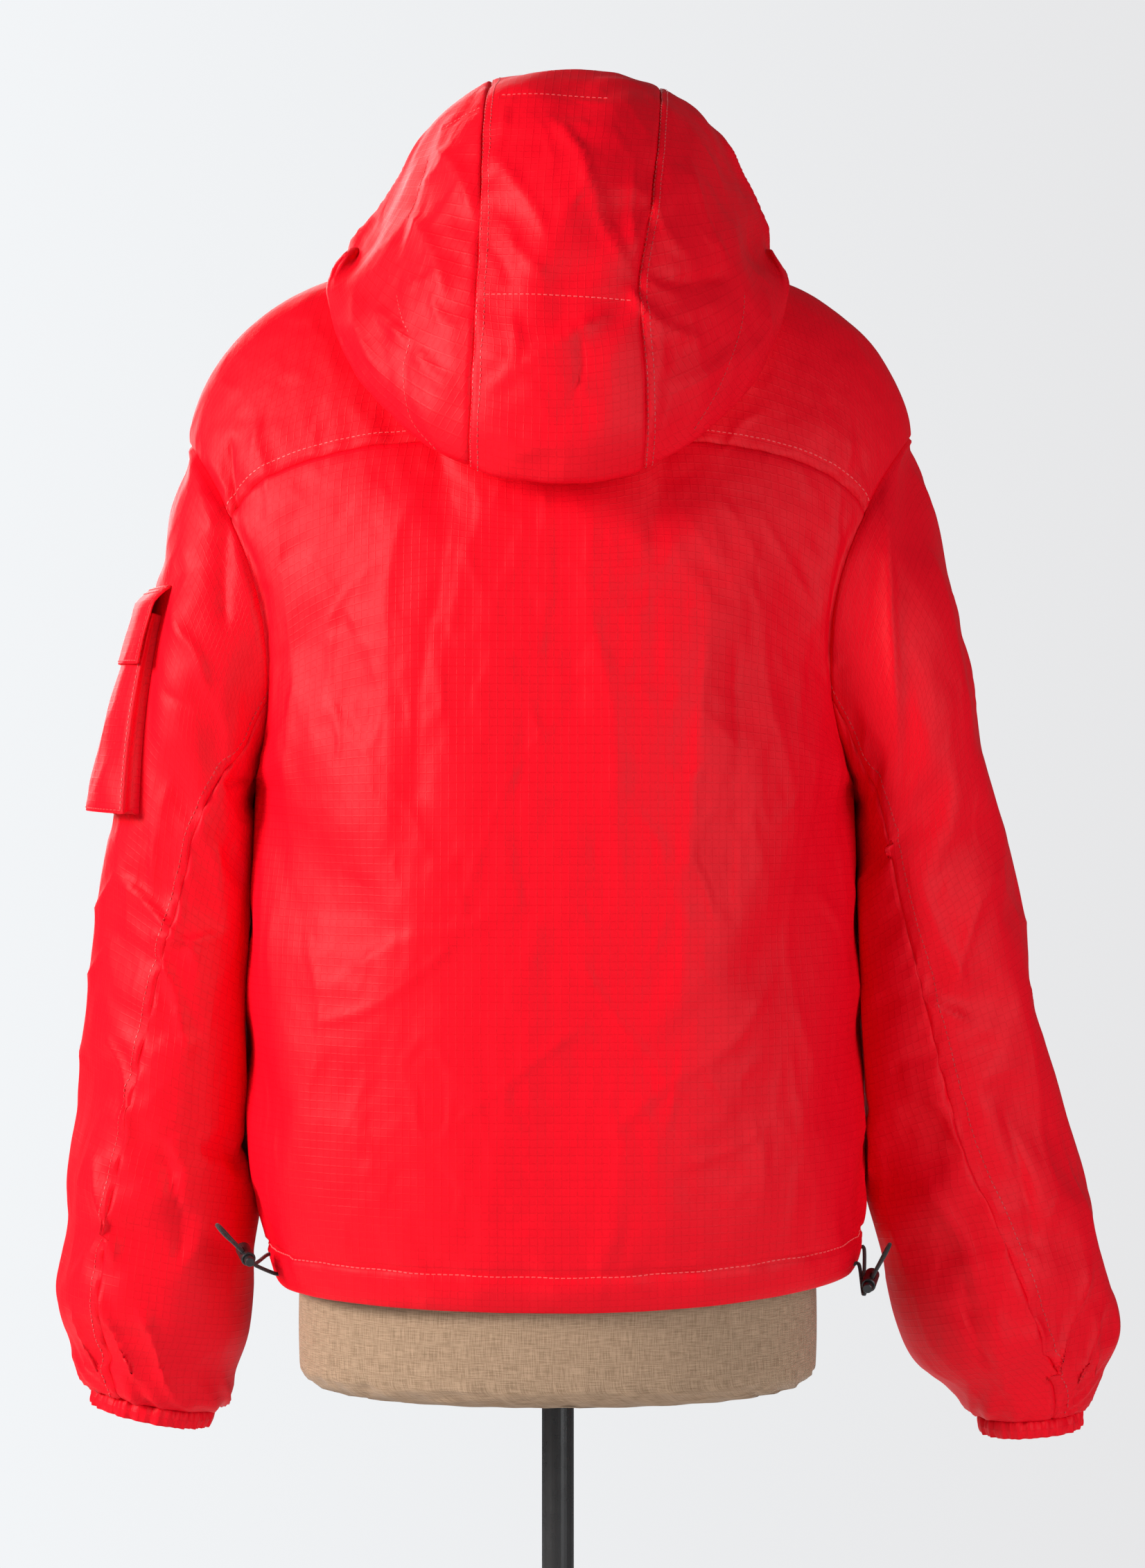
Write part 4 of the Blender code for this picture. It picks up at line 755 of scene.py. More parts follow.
frontSleeveSeam = 232.0    # degrees, hidden seam at the inner front
cuffLength = 0.0105
cuffTaper = 0.0006        # how much smaller the radius is at the cuff's lower edge

# Hood sections from the neck seam over the drooping back and the crown to the top of the face
# edge: y and z of the middle, of the back point and of the face edge, half widths, half
# opening in degrees, and the half width of the centre panel to each side.
hoodRings = [
    # mid y, mid z,  back y, back z, face y,  face z, left,   right,  open,  pan l,  pan r
    (-0.0100, 1.4490, 0.0720, 1.4330, -0.0880, 1.3750, 0.0795, 0.0795, 177.5, 0.0480, 0.0480),
    (0.0000, 1.4550, 0.1010, 1.3960, -0.0980, 1.3850, 0.1040, 0.1020, 174.0, 0.0500, 0.0500),
    (0.0180, 1.4460, 0.1270, 1.3240, -0.1060, 1.3990, 0.1320, 0.1310, 166.0, 0.0530, 0.0520),
    (0.0300, 1.4400, 0.1420, 1.2960, -0.1130, 1.4120, 0.1430, 0.1430, 156.0, 0.0545, 0.0530),
    (0.0360, 1.4380, 0.1590, 1.2910, -0.1180, 1.4260, 0.1480, 0.1490, 147.0, 0.0550, 0.0540),
    (0.0320, 1.4460, 0.1720, 1.3100, -0.1210, 1.4410, 0.1460, 0.1490, 139.0, 0.0545, 0.0545),
    (0.0180, 1.4570, 0.1770, 1.3480, -0.1230, 1.4560, 0.1390, 0.1440, 132.0, 0.0530, 0.0540),
    (0.0020, 1.4700, 0.1720, 1.3980, -0.1240, 1.4720, 0.1260, 0.1370, 126.0, 0.0510, 0.0500),
    (-0.0080, 1.4850, 0.1600, 1.4480, -0.1240, 1.4890, 0.1120, 0.1300, 121.0, 0.0490, 0.0560),
    (-0.0150, 1.5020, 0.1420, 1.4950, -0.1230, 1.5060, 0.1000, 0.1210, 117.0, 0.0470, 0.0620),
    (-0.0250, 1.5240, 0.1100, 1.5340, -0.1220, 1.5210, 0.0920, 0.1130, 113.0, 0.0450, 0.0650),
    (-0.0450, 1.5360, 0.0560, 1.5620, -0.1210, 1.5310, 0.0830, 0.1030, 109.0, 0.0430, 0.0670),
    (-0.0700, 1.5410, -0.0120, 1.5695, -0.1210, 1.5370, 0.0770, 0.0950, 105.0, 0.0420, 0.0660),
    (-0.0950, 1.5410, -0.0720, 1.5650, -0.1210, 1.5400, 0.0730, 0.0890, 100.0, 0.0410, 0.0650),
    (-0.1160, 1.5390, -0.1130, 1.5580, -0.1220, 1.5390, 0.0700, 0.0850, 94.0, 0.0400, 0.0630),
]

# Sleeve pocket, on the outer side of the left sleeve: heights, half width, how far it stands off.
pocketTopZ, pocketBottomZ = 1.2130, 1.0850
pocketHalfWidth = 0.0580
pocketY = -0.0040           # its middle
pocketEdgeDrop = 0.25      # how much closer its side edges lie, as a share of its stand-off
flapRiseShare = 0.24       # part of the flap that climbs from the sleeve onto the pocket
pocketStandTop, pocketStandBottom = 0.0080, 0.0180
flapTopZ, flapBottomZ = 1.2320, 1.1800
flapHalfWidth = 0.0610

# Dress form sections: height, half width, half depth, y of the middle.
formRings = [
    # z,     width,  depth,  y
    (formBottomZ, 0.1480, 0.1060, 0.004),
    (0.7145, 0.1580, 0.1140, 0.004),
    (0.7210, 0.1660, 0.1200, 0.004),
    (0.7320, 0.1690, 0.1220, 0.004),
    (0.7800, 0.1690, 0.1220, 0.004),
    (0.8600, 0.1650, 0.1200, 0.003),
    (0.9400, 0.1450, 0.1060, 0.000),
    (1.0200, 0.1280, 0.0940, -0.003),
    (1.1000, 0.1420, 0.1010, -0.006),
    (1.1900, 0.1600, 0.1080, -0.008),
    (1.2700, 0.1580, 0.0980, -0.004),
    (1.3174, 0.1530, 0.0820, 0.001),
    (1.3624, 0.1440, 0.0660, 0.004),
    (1.3904, 0.1300, 0.0459, 0.006),
    (1.4094, 0.1070, 0.0408, 0.006),   # the shoulders, which carry the jacket
    (1.4244, 0.0921, 0.0383, 0.005),
    (1.4359, 0.0781, 0.0374, 0.003),
    (1.4434, 0.0614, 0.0460, -0.003),
    (1.4534, 0.0549, 0.0475, -0.008),
    (1.4874, 0.0521, 0.0480, -0.010),
]
formSquareness = 2.2


def signedPower(value, power):
    return math.copysign(abs(value) ** power, value)


def tableAt(rows, place):
    # Smoothly read a table of rows at a row number that need not be whole.
    rows = np.asarray(rows, float)
    last = len(rows) - 1
    place = min(max(place, 0.0), float(last))
    first = min(int(place), last - 1)
    share = place - first
    before, after = rows[max(first - 1, 0)], rows[min(first + 2, last)]
    here, there = rows[first], rows[first + 1]
    slopeHere, slopeThere = (there - before) / 2, (after - here) / 2
    cubic = (
        (2 * share**3 - 3 * share**2 + 1) * here
        + (share**3 - 2 * share**2 + share) * slopeHere
        + (3 * share**2 - 2 * share**3) * there
        + (share**3 - share**2) * slopeThere
    )
    return cubic


def armholePoint(side, turn):
    # A point of the armhole seam: turn 0 is its top, 90 the back, 180 the underarm, 270 the front.
    hole = armholes[side]
    angle = math.radians(turn)
    top, under = np.array(hole["top"]), np.array(hole["under"])
    middle, reach = (top + under) / 2, (top - under) / 2
    x, z = middle + reach * math.cos(angle)
    x -= hole["scoop"] * math.sin(angle) ** 2
    sign = 1 if side == "left" else -1
    return np.array([sign * x, hole["depth"] * math.sin(angle), z])


def lowerBody(place, across, back):
    # Ring `place` of the lower body; across runs from -1, the right side, to 1, the left.
    z, left, right, deepBack, deepFront = tableAt(bodyRings, place)
    half = left if across > 0 else right
    depth = (1 - abs(across) ** bodySquareness) ** (1 / bodySquareness)
    hemShare = max(0.0, 1 - place / 4)
    rise = hemRise["left"] if across > 0 else hemRise["right"]
    z += rise * hemShare * across**2
    y = deepBack * depth if back else -deepFront * depth
    return np.array([half * across, y, z])


def upperBody(place, across, back):
    # Row `place` of the upper body, from the underarm to the shoulder seam.
    row = tableAt(upperRows, place)
    shoulder = row[7]
    side = "left" if across > 0 else "right"
    edge = armholePoint(side, edgeTurn(place, back))
    centreZ, sideZ, centreY = row[1:4] if back else row[4:7]
    ratio = abs(across)
    x = edge[0] * ratio
    depthLow = (1 - ratio**bodySquareness) ** (1 / bodySquareness)
    yLow = centreY * depthLow + edge[1] * (1 - depthLow) ** 2
    arch = (1 - ratio**archPower) ** archRound
    dip = max(0.0, 1 - (ratio / neckDipShare) ** 2) ** 2
    zLow = edge[2] + (sideZ - edge[2]) * arch + (centreZ - sideZ) * dip
    # The shoulder line runs straight to the neck's side, then round the neck.
    neck = max(0.0, 1 - (ratio / neckShare) ** 2) ** 0.5
    yHigh = edge[1] + (neckSide[0] - edge[1]) * arch
    yHigh += (centreY - neckSide[0]) * neck
    zHigh = edge[2] + (neckSide[1] - edge[2]) * arch + (centreZ - neckSide[1]) * neck
    share = shoulder ** (1.5 if back else 1.8)
    return np.array([x, yLow + (yHigh - yLow) * share, zLow + (zHigh - zLow) * share])


def edgeTurn(place, back):
    # Where round the armhole a row of the upper body ends.
    turn = tableAt(upperRows, place)[0]
    if back:
        return turn
    start = -shoulderSeamTurn
    return -(start + (turn + start) * (180 - start) / (180 + start))


lowerRows = len(bodyRings) - 1
bodyPlaces = [*range(lowerRows + 1), *(lowerRows + place for place in upperPlaces)]


def bodySurface(row, across, back):
    if row <= lowerRows:
        return lowerBody(row, across, back)
    return upperBody(row - lowerRows, across, back)


@functools.lru_cache(maxsize=None)
def bodySideLines(side, back):
    # Each body column on this side below the arms, as points from the hem up.
    columns = [value for value in bodyColumns() if (value > 0) == (side == "left") and value]
    return [np.array([lowerBody(row, value, back) for row in range(lowerRows + 1)]) for value in columns]


def bodySideX(side, y, z):
    # How far out the body's side reaches at this y and z.
    line = []
    for points in bodySideLines(side, y > 0):
        line.append([abs(np.interp(z, points[:, 2], points[:, k])) for k in (0, 1)])
    line = np.array(sorted(line, key=lambda point: point[1]))
    return float(np.interp(abs(y), line[:, 1], line[:, 0]))


def sleeveSurface(side, ring, turn):
    # Ring 0 is the armhole seam, the last is the top of the cuff.
    angle = math.radians(turn)
    if ring <= 0:
        return armholePoint(side, turn)
    rows = sleeveRings[side]
    sign = 1 if side == "left" else -1
    first = rows[0]
    hole = armholes[side]
    seamRow = (*hole["top"], *hole["under"], hole["depth"], 0.0, first[6], 2.0)
    outX, outZ, inX, inZ, depth, yMid, _, square = tableAt([seamRow, *rows], ring)
    along = signedPower(math.cos(angle), 2 / square)
    x = (outX + inX) / 2 + (outX - inX) / 2 * along
    z = (outZ + inZ) / 2 + (outZ - inZ) / 2 * along
    x -= hole["scoop"] * math.sin(angle) ** 2 * max(0.0, 1 - ring / 2.2) ** 1.5
    y = yMid + depth * signedPower(math.sin(angle), 2 / square)
    away = sleeveClearance * min(1.0, ring)
    if z < hole["under"][1]:
        x = max(x, bodySideX(side, y, z) + away)
    elif z < hole["top"][1]:
        middleZ = (hole["top"][1] + hole["under"][1]) / 2
        reachZ = (hole["top"][1] - hole["under"][1]) / 2
        level = math.degrees(math.acos(np.clip((z - middleZ) / reachZ, -1, 1)))
        x = max(x, sign * armholePoint(side, level)[0] + away)
    return np.array([sign * x, y, z])


def neckPoint(turn):
    # On the neck edge, whose corners are where the body's columns meet it.
    step = 180 / neckColumns
    low = math.floor(turn / step)
    ends = []
    for corner in (low, low + 1):
        across = neckShare * math.sin(math.radians(corner * step))
        ends.append(upperBody(len(upperRows) - 1, across, abs(corner) * 2 <= neckColumns))
    share = turn / step - low
    return ends[0] * (1 - share) + ends[1] * share


def hoodSurface(ring, turn):
    # turn 0 is centre back, +90 the left side, -90 the right side.
    if ring <= 0:
        return neckPoint(turn)
    row = tableAt(hoodRings, ring)
    midY, midZ, backY, backZ, faceY, faceZ, left, right, opening = row[:9]
    angle = math.radians(turn)
    along, out = math.cos(angle), math.sin(angle)
    endY, endZ = backY, backZ
    if along < 0:
        endY, endZ = faceY, faceZ
        along /= math.cos(math.radians(opening))
    half = left if out > 0 else right
    x = half * out
    y = midY + (endY - midY) * abs(along)
    z = midZ + (endZ - midZ) * abs(along)
    return np.array([x, y, z])


def heightClearOfShoulder(x, y, clearance):
    # Lowest height that is this far from the shoulder in every direction.
    heights = [shoulderHeight(x, y) + clearance]
    for angle in np.radians(np.arange(0, 360, 45)):
        for share in (0.5, 0.86, 1.0):
            near = shoulderHeight(x + share * clearance * math.cos(angle),
                                   y + share * clearance * math.sin(angle))
            heights.append(near + clearance * (1 - share**2) ** 0.5)
    return max(heights)


def shoulderHeight(x, y):
    # Height of the upper body's outer face above this point, or 0 outside it.
    heights = []
    for back in (True, False):
        track = upperTrack(round(x, 3), back)
        if len(track) > 1:
            order = np.argsort(track[:, 0])
            heights.append(np.interp(y, track[order, 0], track[order, 1], left=0.0, right=0.0))
    return max(heights, default=0.0)


@functools.lru_cache(maxsize=None)
def upperTrack(x, back):
    # y and z of the upper body where a plane at this x cuts it.
    track = []
    for row in np.linspace(1, len(upperRows) - 1, 25):
        edge = abs(upperBody(row, 1.0 if x > 0 else -1.0, back)[0])
        if abs(x) < edge:
            point = upperBody(row, x / edge, back)
            track.append((point[1], point[2]))
    return np.array(track)


neckColumns, sideColumns = 8, 5


def bodyColumns():
    # Where the body's columns lie across it, closest at the sides and round the neck.
    side = [
        neckShare + (1 - neckShare) * math.sin(math.pi / 2 * (1 - i / sideColumns))
        for i in range(sideColumns)
    ]
    neck = [neckShare * math.cos(math.pi * i / neckColumns) for i in range(neckColumns + 1)]
    return side + neck + [-value for value in reversed(side)]


def armholeTurns():
    # The turns of the armhole's points, from the front seam over the top to the back seam and on.
    places = [0.0, *upperPlaces]
    back = [edgeTurn(place, True) for place in places]
    front = [edgeTurn(place, False) for place in places]
    seam = places.index(sleeveSeamPlace)
    top = front[seam:-1] + back[:seam - 1:-1]
    under = back[seam::-1] + [turn + 360 for turn in front[1:seam + 1]]
    return top, under


neckPanelTurn = 45.0   # where the hood's panel seams meet the neck edge
centreHoodColumns = 9
# Where a side panel's columns lie, from its seam to the face edge, closest over the shoulder line.
sideHoodColumns = (0, 1, 2, 3, 3.5, 4, 4.5, 5, 6, 7, 8, 9, 10, 11, 12)
lastRestingRing = 7    # rings below this one rest over the shoulders
liftSmoothing = 3


hoodPlaces = [0.0, 0.3, 0.65, *range(1, len(hoodRings))]   # closer where it turns off the neck


def hoodOuter(rings, turns):
    # The hood's outer face as a grid, lifted off the shoulders where it rests over them.
    points = np.array([[hoodSurface(ring, turn) for turn in row] for ring, row in zip(rings, turns)])
    lift = np.zeros(points.shape[:2])
    for i, ring in enumerate(rings):
        if 0 < ring < lastRestingRing:
            clearance = hoodClearance * min(1.0, 4 * ring)
            for j, (x, y, z) in enumerate(points[i]):
                lift[i, j] = max(heightClearOfShoulder(x, y, clearance) - z, 0.0)
    needed = lift.copy()
    for _ in range(liftSmoothing):
        spread = np.pad(lift, 1, mode="edge")
        spread = (spread[1:-1, :-2] + spread[1:-1, 2:] + spread[:-2, 1:-1] + spread[2:, 1:-1]) / 4
        lift = np.maximum(spread, needed)
    lift[0] = 0.0
    points[:, :, 2] += lift
    return points


def sleeveAt(z, y, lift):
    # The point on the left sleeve's outer face at this height and y, moved straight out by lift.
    ring, turn = 3.0, 0.0
    for _ in range(30):
        point = sleeveSurface("left", ring, turn)
        turn += np.clip((y - point[1]) / 0.075 * 50, -15, 15)
        ring += np.clip((point[2] - z) / 0.05, -0.8, 0.8)
    point = sleeveSurface("left", ring, turn)
    around = sleeveSurface("left", ring, turn + 2) - sleeveSurface("left", ring, turn - 2)
    along = sleeveSurface("left", ring + 0.05, turn) - sleeveSurface("left", ring - 0.05, turn)
    normal = unit(np.cross(along, around))
    if normal[0] < 0:
        normal = -normal
    return point + normal * lift


# Folds listed under the side that they are seen from, in millimetres: width, height, how
# much wider one side of it is than the other, then the points of its line.
laidFolds = {
    "back": [
        # the back
        (4.5, 1.1, 0.3, (-4, 1150), (32, 1102), (68, 1000)),
        (4.2, 1.2, 0.2, (-52, 1306), (-80, 1272), (-106, 1234)),
        (4.2, 1.1, 0.2, (158, 1252), (140, 1225), (122, 1200)),
        (4, 0.9, 0.2, (150, 1200), (132, 1226), (112, 1244)),
        (5, 1.4, 0.3, (60, 1010), (110, 970), (160, 953)),
        (4.8, 1.2, 0.3, (-8, 1008), (-40, 958), (-84, 908)),
        (5, 1, 0.2, (10, 1300), (4, 1240), (12, 1170)),
        (4.5, 1.1, 0.2, (130, 1130), (100, 1080), (40, 1040)),
        (4.2, 0.9, 0.2, (-120, 1120), (-90, 1150), (-60, 1160)),
        (4.8, 1.2, 0.3, (-20, 960), (20, 930), (70, 890)),
        (4.5, 1.2, 0.3, (-140, 900), (-110, 880), (-70, 868)),
        (5.5, 1.4, 0.3, (165, 1020), (150, 960), (158, 900)),
        (17, 2.4, 0.3, (-23, 1285), (-19, 1224), (-25, 1193), (-35, 1143), (-37, 1085), (-42, 1015)),
        (19, 3, -0.45, (-93, 1230), (-92, 1178), (-86, 1118), (-80, 1032), (-75, 955)),
        (13, -1.9, 0, (-112, 1210), (-114, 1150), (-110, 1080), (-106, 1010)),
        (11, 1.5, 0.2, (-131, 1215), (-136, 1157), (-148, 1109), (-153, 1045)),
        (5.5, 1.4, 0.3, (-126, 1280), (-133, 1264), (-150, 1239), (-166, 1210)),
        (4.5, 1, 0, (-98, 1290), (-117, 1262), (-131, 1234)),
        (5.5, 1.2, 0.3, (-104, 1104), (-86, 1068), (-68, 1024), (-50, 978)),
        (19, 2.5, 0.3, (66, 1315), (77, 1297), (96, 1270), (108, 1204), (104, 1118), (108, 1040)),
        (12, -1.7, 0, (67, 1270), (75, 1220), (86, 1162), (88, 1090)),
        (9, 1.2, -0.2, (57, 1255), (65, 1208), (71, 1174), (66, 1110)),
        (14, 2.1, 0.2, (178, 1285), (171, 1218), (168, 1161), (174, 1109), (176, 1040)),
        (12, 1.5, 0.4, (150, 975), (106, 1006), (54, 1019), (16, 1037)),
        (13, 1.7, -0.4, (-22, 880), (-67, 920), (-110, 946), (-145, 995)),
        (10, 1.1, 0.3, (150, 1165), (123, 1127), (88, 1083), (68, 1025)),
        (12, 1.3, 0.2, (85, 950), (45, 916), (-10, 902)),
        (12, 1.5, 0.1, (-162, 1085), (-150, 1019), (-153, 967), (-166, 915)),
        (13, -1.3, 0, (30, 1205), (20, 1150), (24, 1080), (12, 1000)),
        (10, 1.1, 0.2, (120, 930), (125, 890), (110, 845)),
        (10, 1.1, -0.2, (-120, 905), (-128, 865), (-122, 835)),
        (9, 2.1, 0.3, (-176, 1270), (-178, 1200), (-181, 1130), (-182, 1050)),
        # the yoke
        (12, 2.1, 0.2, (193, 1352), (190, 1322), (182, 1290)),
        (12, 1, 0.1, (150, 1400), (140, 1360), (125, 1335)),
        (11, 1.2, 0.1, (-160, 1385), (-165, 1350), (-172, 1320)),
        (7, 1.8, 0.1, (-186, 1360), (-187, 1330), (-186, 1300)),
        # the left sleeve
        (9, -3.8, 0, (209, 1330), (208, 1300), (204, 1270)),
        (5.5, 3.1, 0.2, (231, 1295), (225, 1274), (216, 1260)),
        (8, 6.3, 0.4, (249, 1252), (246, 1225), (242, 1203), (233, 1192), (227, 1180), (223, 1160)),
        (11, -5.5, 0, (213, 1275), (215, 1238), (213, 1200)),
        (4.2, -2.9, 0, (254, 1163), (243, 1157), (232, 1151)),
        (8, 5.3, 0.4, (282, 1045), (270, 1034), (255, 1018), (238, 1001)),
        (9.5, 4.5, 0.2, (296, 948), (282, 914), (273, 872)),
        (10, 4.9, -0.2, (302, 870), (296, 830), (284, 790)),
        (6.5, 5.3, 0.2, (298, 780), (283, 740), (272, 712)),
        (6, 4.1, -0.2, (315, 765), (308, 735), (296, 712)),
        (5, 4.7, 0.2, (262, 1010), (244, 1004), (222, 1006), (205, 1014)),
        (5.5, 4, -0.2, (258, 998), (246, 972), (240, 940)),
        (5.5, 3.5, 0.2, (262, 1030), (258, 1075), (248, 1110)),
        (4.5, -2.5, 0.2, (232, 900), (240, 885), (254, 878)),
        (6, 4, 0.2, (205, 930), (216, 900), (232, 880)),
        (7, 3.8, 0.2, (210, 820), (226, 800), (248, 792)),
        (4.5, -4.7, 0.2, (190, 1106), (198, 1107), (213, 1103)),
        (10, 6.7, 0.2, (228, 1090), (216, 1047), (211, 1005)),
        (6.5, 5.9, 0.4, (240, 1003), (224, 988), (210, 968)),
        (10, 5.9, 0.2, (243, 950), (226, 915), (220, 870)),
        (9, -4.3, 0, (256, 880), (246, 830), (246, 790)),
        (10, 5.9, 0.1, (212, 870), (219, 820), (216, 775)),
        (6.5, 6.4, 0.2, (270, 770), (256, 728), (246, 702)),
        (7, 7.7, 0.2, (206, 752), (224, 725), (238, 704)),
        (5.5, 4.3, 0.2, (222, 785), (236, 750), (243, 715)),
        # the right sleeve
        (7.5, 7.3, 0.35, (-213, 1295), (-214, 1229), (-215.5, 1163), (-213, 1109), (-209, 1056)),
        (13, 3.6, 0.2, (-242, 1262), (-255, 1198), (-266, 1130)),
        (12, 5.2, 0.3, (-222, 1060), (-242, 1016), (-266, 965)),
        (10, 3.6, 0.2, (-290, 1060), (-266, 1016), (-250, 960)),
        (12, 3.6, 0.2, (-300, 960), (-312, 900), (-322, 840)),
        (9, -3, 0, (-288, 900), (-300, 850), (-310, 800)),
        (7.5, 5.2, 0.2, (-345, 800), (-336, 750), (-318, 704)),
        (6.5, 3.9, 0.1, (-358, 770), (-352, 735), (-338, 704)),
        (8, 5.5, 0.3, (-206, 985), (-232, 968), (-268, 950)),
        (10, 5.9, 0.2, (-222, 930), (-244, 900), (-262, 860)),
        (10, 5, 0.2, (-235, 850), (-255, 820), (-275, 780)),
        (7.5, 7.2, 0.2, (-240, 772), (-256, 728), (-276, 700)),
        (6.5, 6.4, 0.1, (-282, 775), (-287, 732), (-291, 700)),
        (5.5, -4.3, 0.1, (-262, 790), (-270, 752), (-282, 715)),
        # the hood
        (5, 2.2, 0.2, (50, 1372), (30, 1362), (12, 1345), (0, 1322)),
        (4.5, -1.8, 0.2, (46, 1440), (34, 1428), (28, 1410)),
        (6, 2.5, 0.2, (30, 1535), (36, 1505), (44, 1480)),
        (5.5, 2.5, 0.2, (-20, 1470), (-34, 1440), (-50, 1415)),
        (5, -2, 0.2, (-12, 1384), (-16, 1362), (-8, 1338)),
        (7, 4.8, 0.4, (48, 1345), (15, 1367), (-11, 1384), (-36, 1397)),
        (9, 4.3, 0.3, (48, 1322), (11, 1315), (-24, 1317), (-52, 1328)),
        (6, 3.2, 0.3, (20, 1368), (-11, 1350), (-40, 1334)),
        (6.5, 3.2, 0.3, (10, 1530), (-11, 1505), (-20, 1478), (-35, 1452)),
        (8, 2.9, 0.2, (40, 1500), (20, 1470), (5, 1440)),
        (6, 2.5, 0.3, (38, 1455), (20, 1430), (2, 1415)),
        (8, 3.2, 0.2, (-50, 1500), (-46, 1460), (-50, 1425)),
        (5.5, 2.1, 0.2, (30, 1395), (24, 1375), (30, 1350)),
        (5, 2.2, 0.2, (62, 1430), (76, 1418), (96, 1414)),
        (5, 2, 0.2, (66, 1505), (74, 1490), (90, 1482)),
        (5, 2.5, 0.2, (60, 1382), (72, 1392), (78, 1412)),
        (6, 3.9, 0.4, (114, 1404), (101, 1390), (90, 1376)),
        (6, 3.9, 0.4, (90, 1377), (75, 1358), (60, 1343)),
        (8, 3.9, 0.3, (78, 1510), (60, 1483), (52, 1455)),
        (10, 4.3, 0.3, (95, 1470), (78, 1440), (66, 1400)),
        (9, 3.9, -0.2, (128, 1420), (124, 1390), (108, 1355)),
        (5, 2.9, 0.2, (-56, 1402), (-64, 1378), (-66, 1352)),
        (5.5, 2.5, 0.2, (-60, 1470), (-68, 1445), (-84, 1430)),
        (4.5, 2, 0.2, (-62, 1392), (-84, 1398), (-104, 1408)),
        (6, 5.5, 0.4, (-44, 1412), (-54, 1396), (-70, 1386), (-92, 1380)),
        (6.5, -4.3, 0.2, (-58, 1420), (-78, 1416), (-108, 1424)),
        (7, 4.3, 0.3, (-66, 1348), (-92, 1358), (-112, 1378)),
        (9, 4.3, 0.3, (-82, 1500), (-92, 1460), (-110, 1425)),
        (9, 3.9, 0.2, (-130, 1420), (-132, 1390), (-118, 1355)),
    ],
    "front": [
        # the left front
        (13, 3.4, 0.3, (165, 1250), (150, 1190), (120, 1130), (105, 1060)),
        (13, 2.8, -0.2, (60, 1290), (75, 1220), (70, 1140)),
        (12, 2.4, 0.2, (30, 1180), (45, 1100), (36, 1020)),
        (11, 2.8, 0.3, (160, 1060), (130, 1010), (85, 985)),
        (12, 2.6, 0.2, (110, 950), (100, 890), (115, 835)),
        (12, 2.4, -0.2, (45, 960), (55, 900), (45, 840)),
        (11, 2.6, 0.1, (175, 960), (165, 900), (170, 850)),
        # the right front
        (13, 3.4, -0.3, (-160, 1260), (-146, 1200), (-126, 1140), (-100, 1080)),
        (13, 2.8, 0.2, (-55, 1270), (-70, 1200), (-62, 1110)),
        (11, 2.8, -0.3, (-150, 1050), (-125, 995), (-80, 975)),
        (12, 2.4, 0.2, (-30, 1120), (-40, 1040), (-30, 960)),
        (12, 2.6, 0.2, (-100, 940), (-112, 885), (-104, 835)),
        (11, 2.6, -0.1, (-170, 980), (-160, 920), (-168, 860)),
        (12, 2.2, 0, (-45, 930), (-58, 880), (-50, 835)),
    ],
    "left": [
        # the left sleeve
        (10, 1.8, 0.3, (-60, 1300), (-45, 1260), (-20, 1240)),
        (10, 2.4, 0.4, (50, 1060), (20, 1030), (-20, 1020), (-60, 1035)),
        (8, 1.8, 0.4, (40, 1010), (10, 985), (-30, 975)),
        (10, 2, -0.3, (-55, 960), (-30, 930), (10, 915)),
        (12, 2, 0.2, (30, 880), (15, 830), (10, 780)),
        (11, 1.8, -0.2, (-60, 850), (-55, 800), (-60, 750)),
        (7, 2, 0.1, (-30, 790), (-28, 750), (-24, 715)),
        (7, 2, 0.1, (26, 770), (20, 740), (10, 715)),
        # the hood
        (11, 3, 0.3, (30, 1530), (10, 1490), (0, 1450)),
        (11, 2.8, -0.3, (-60, 1520), (-50, 1480), (-40, 1440)),
    ],
    "right": [
        # the right sleeve
        (12, 1.8, 0.2, (45, 1240), (30, 1190), (35, 1130)),
        (12, 1.8, -0.2, (-50, 1210), (-35, 1150), (-45, 1080)),
        (11, 1, 0.4, (50, 1050), (15, 1020), (-30, 1015), (-70, 1030)),
        (11, 1, 0.4, (45, 985), (10, 965), (-40, 960)),
        (12, 2, 0.2, (30, 900), (15, 850), (12, 800)),
        (11, 2, -0.2, (-55, 920), (-50, 860), (-60, 800)),
        (7, 2, 0.1, (-20, 780), (-22, 740), (-24, 705)),
        (7, 2, 0.1, (22, 770), (16, 735), (6, 705)),
        # the hood
        (11, 3, -0.3, (30, 1530), (12, 1490), (6, 1450)),
        (11, 2.8, 0.3, (-50, 1515), (-45, 1470), (-30, 1430)),
    ],
}

rollingLook = {  # heights of broad and small waves, waves per metre, and how much of the simulation shows
    "body": dict(
        broad=0.0017, broadScale=10.0, small=0.0008, smallScale=26.0, slant=0.35, drawn=0.42,
        strength=1.6, simShare=0.5,
    ),
    "hood": dict(
        broad=0.0020, broadScale=17.0, small=0.0011, smallScale=40.0, slant=0.5, drawn=0.65,
        strength=1.6, simShare=0.3,
    ),
}


def rolling(panel, look, seed):
    # Soft waves and small creases all over a panel, the same field for every panel.
    points = panel.points.copy()
    points[..., 0] += look["slant"] * points[..., 2]
    drawn = (1, 1, look["drawn"])
    broad = softNoise(points, look["broadScale"], seed, drawn)
    small = softNoise(points, look["smallScale"], seed + 5, (1, 1, 0.8))
    crease = 0.25 - np.abs(softNoise(points, look["smallScale"] * 0.7, seed + 9, (1, 1, 0.6)))
    waves = look["broad"] * broad + look["small"] * small + 0.9 * look["small"] * crease
    return look["strength"] * waves


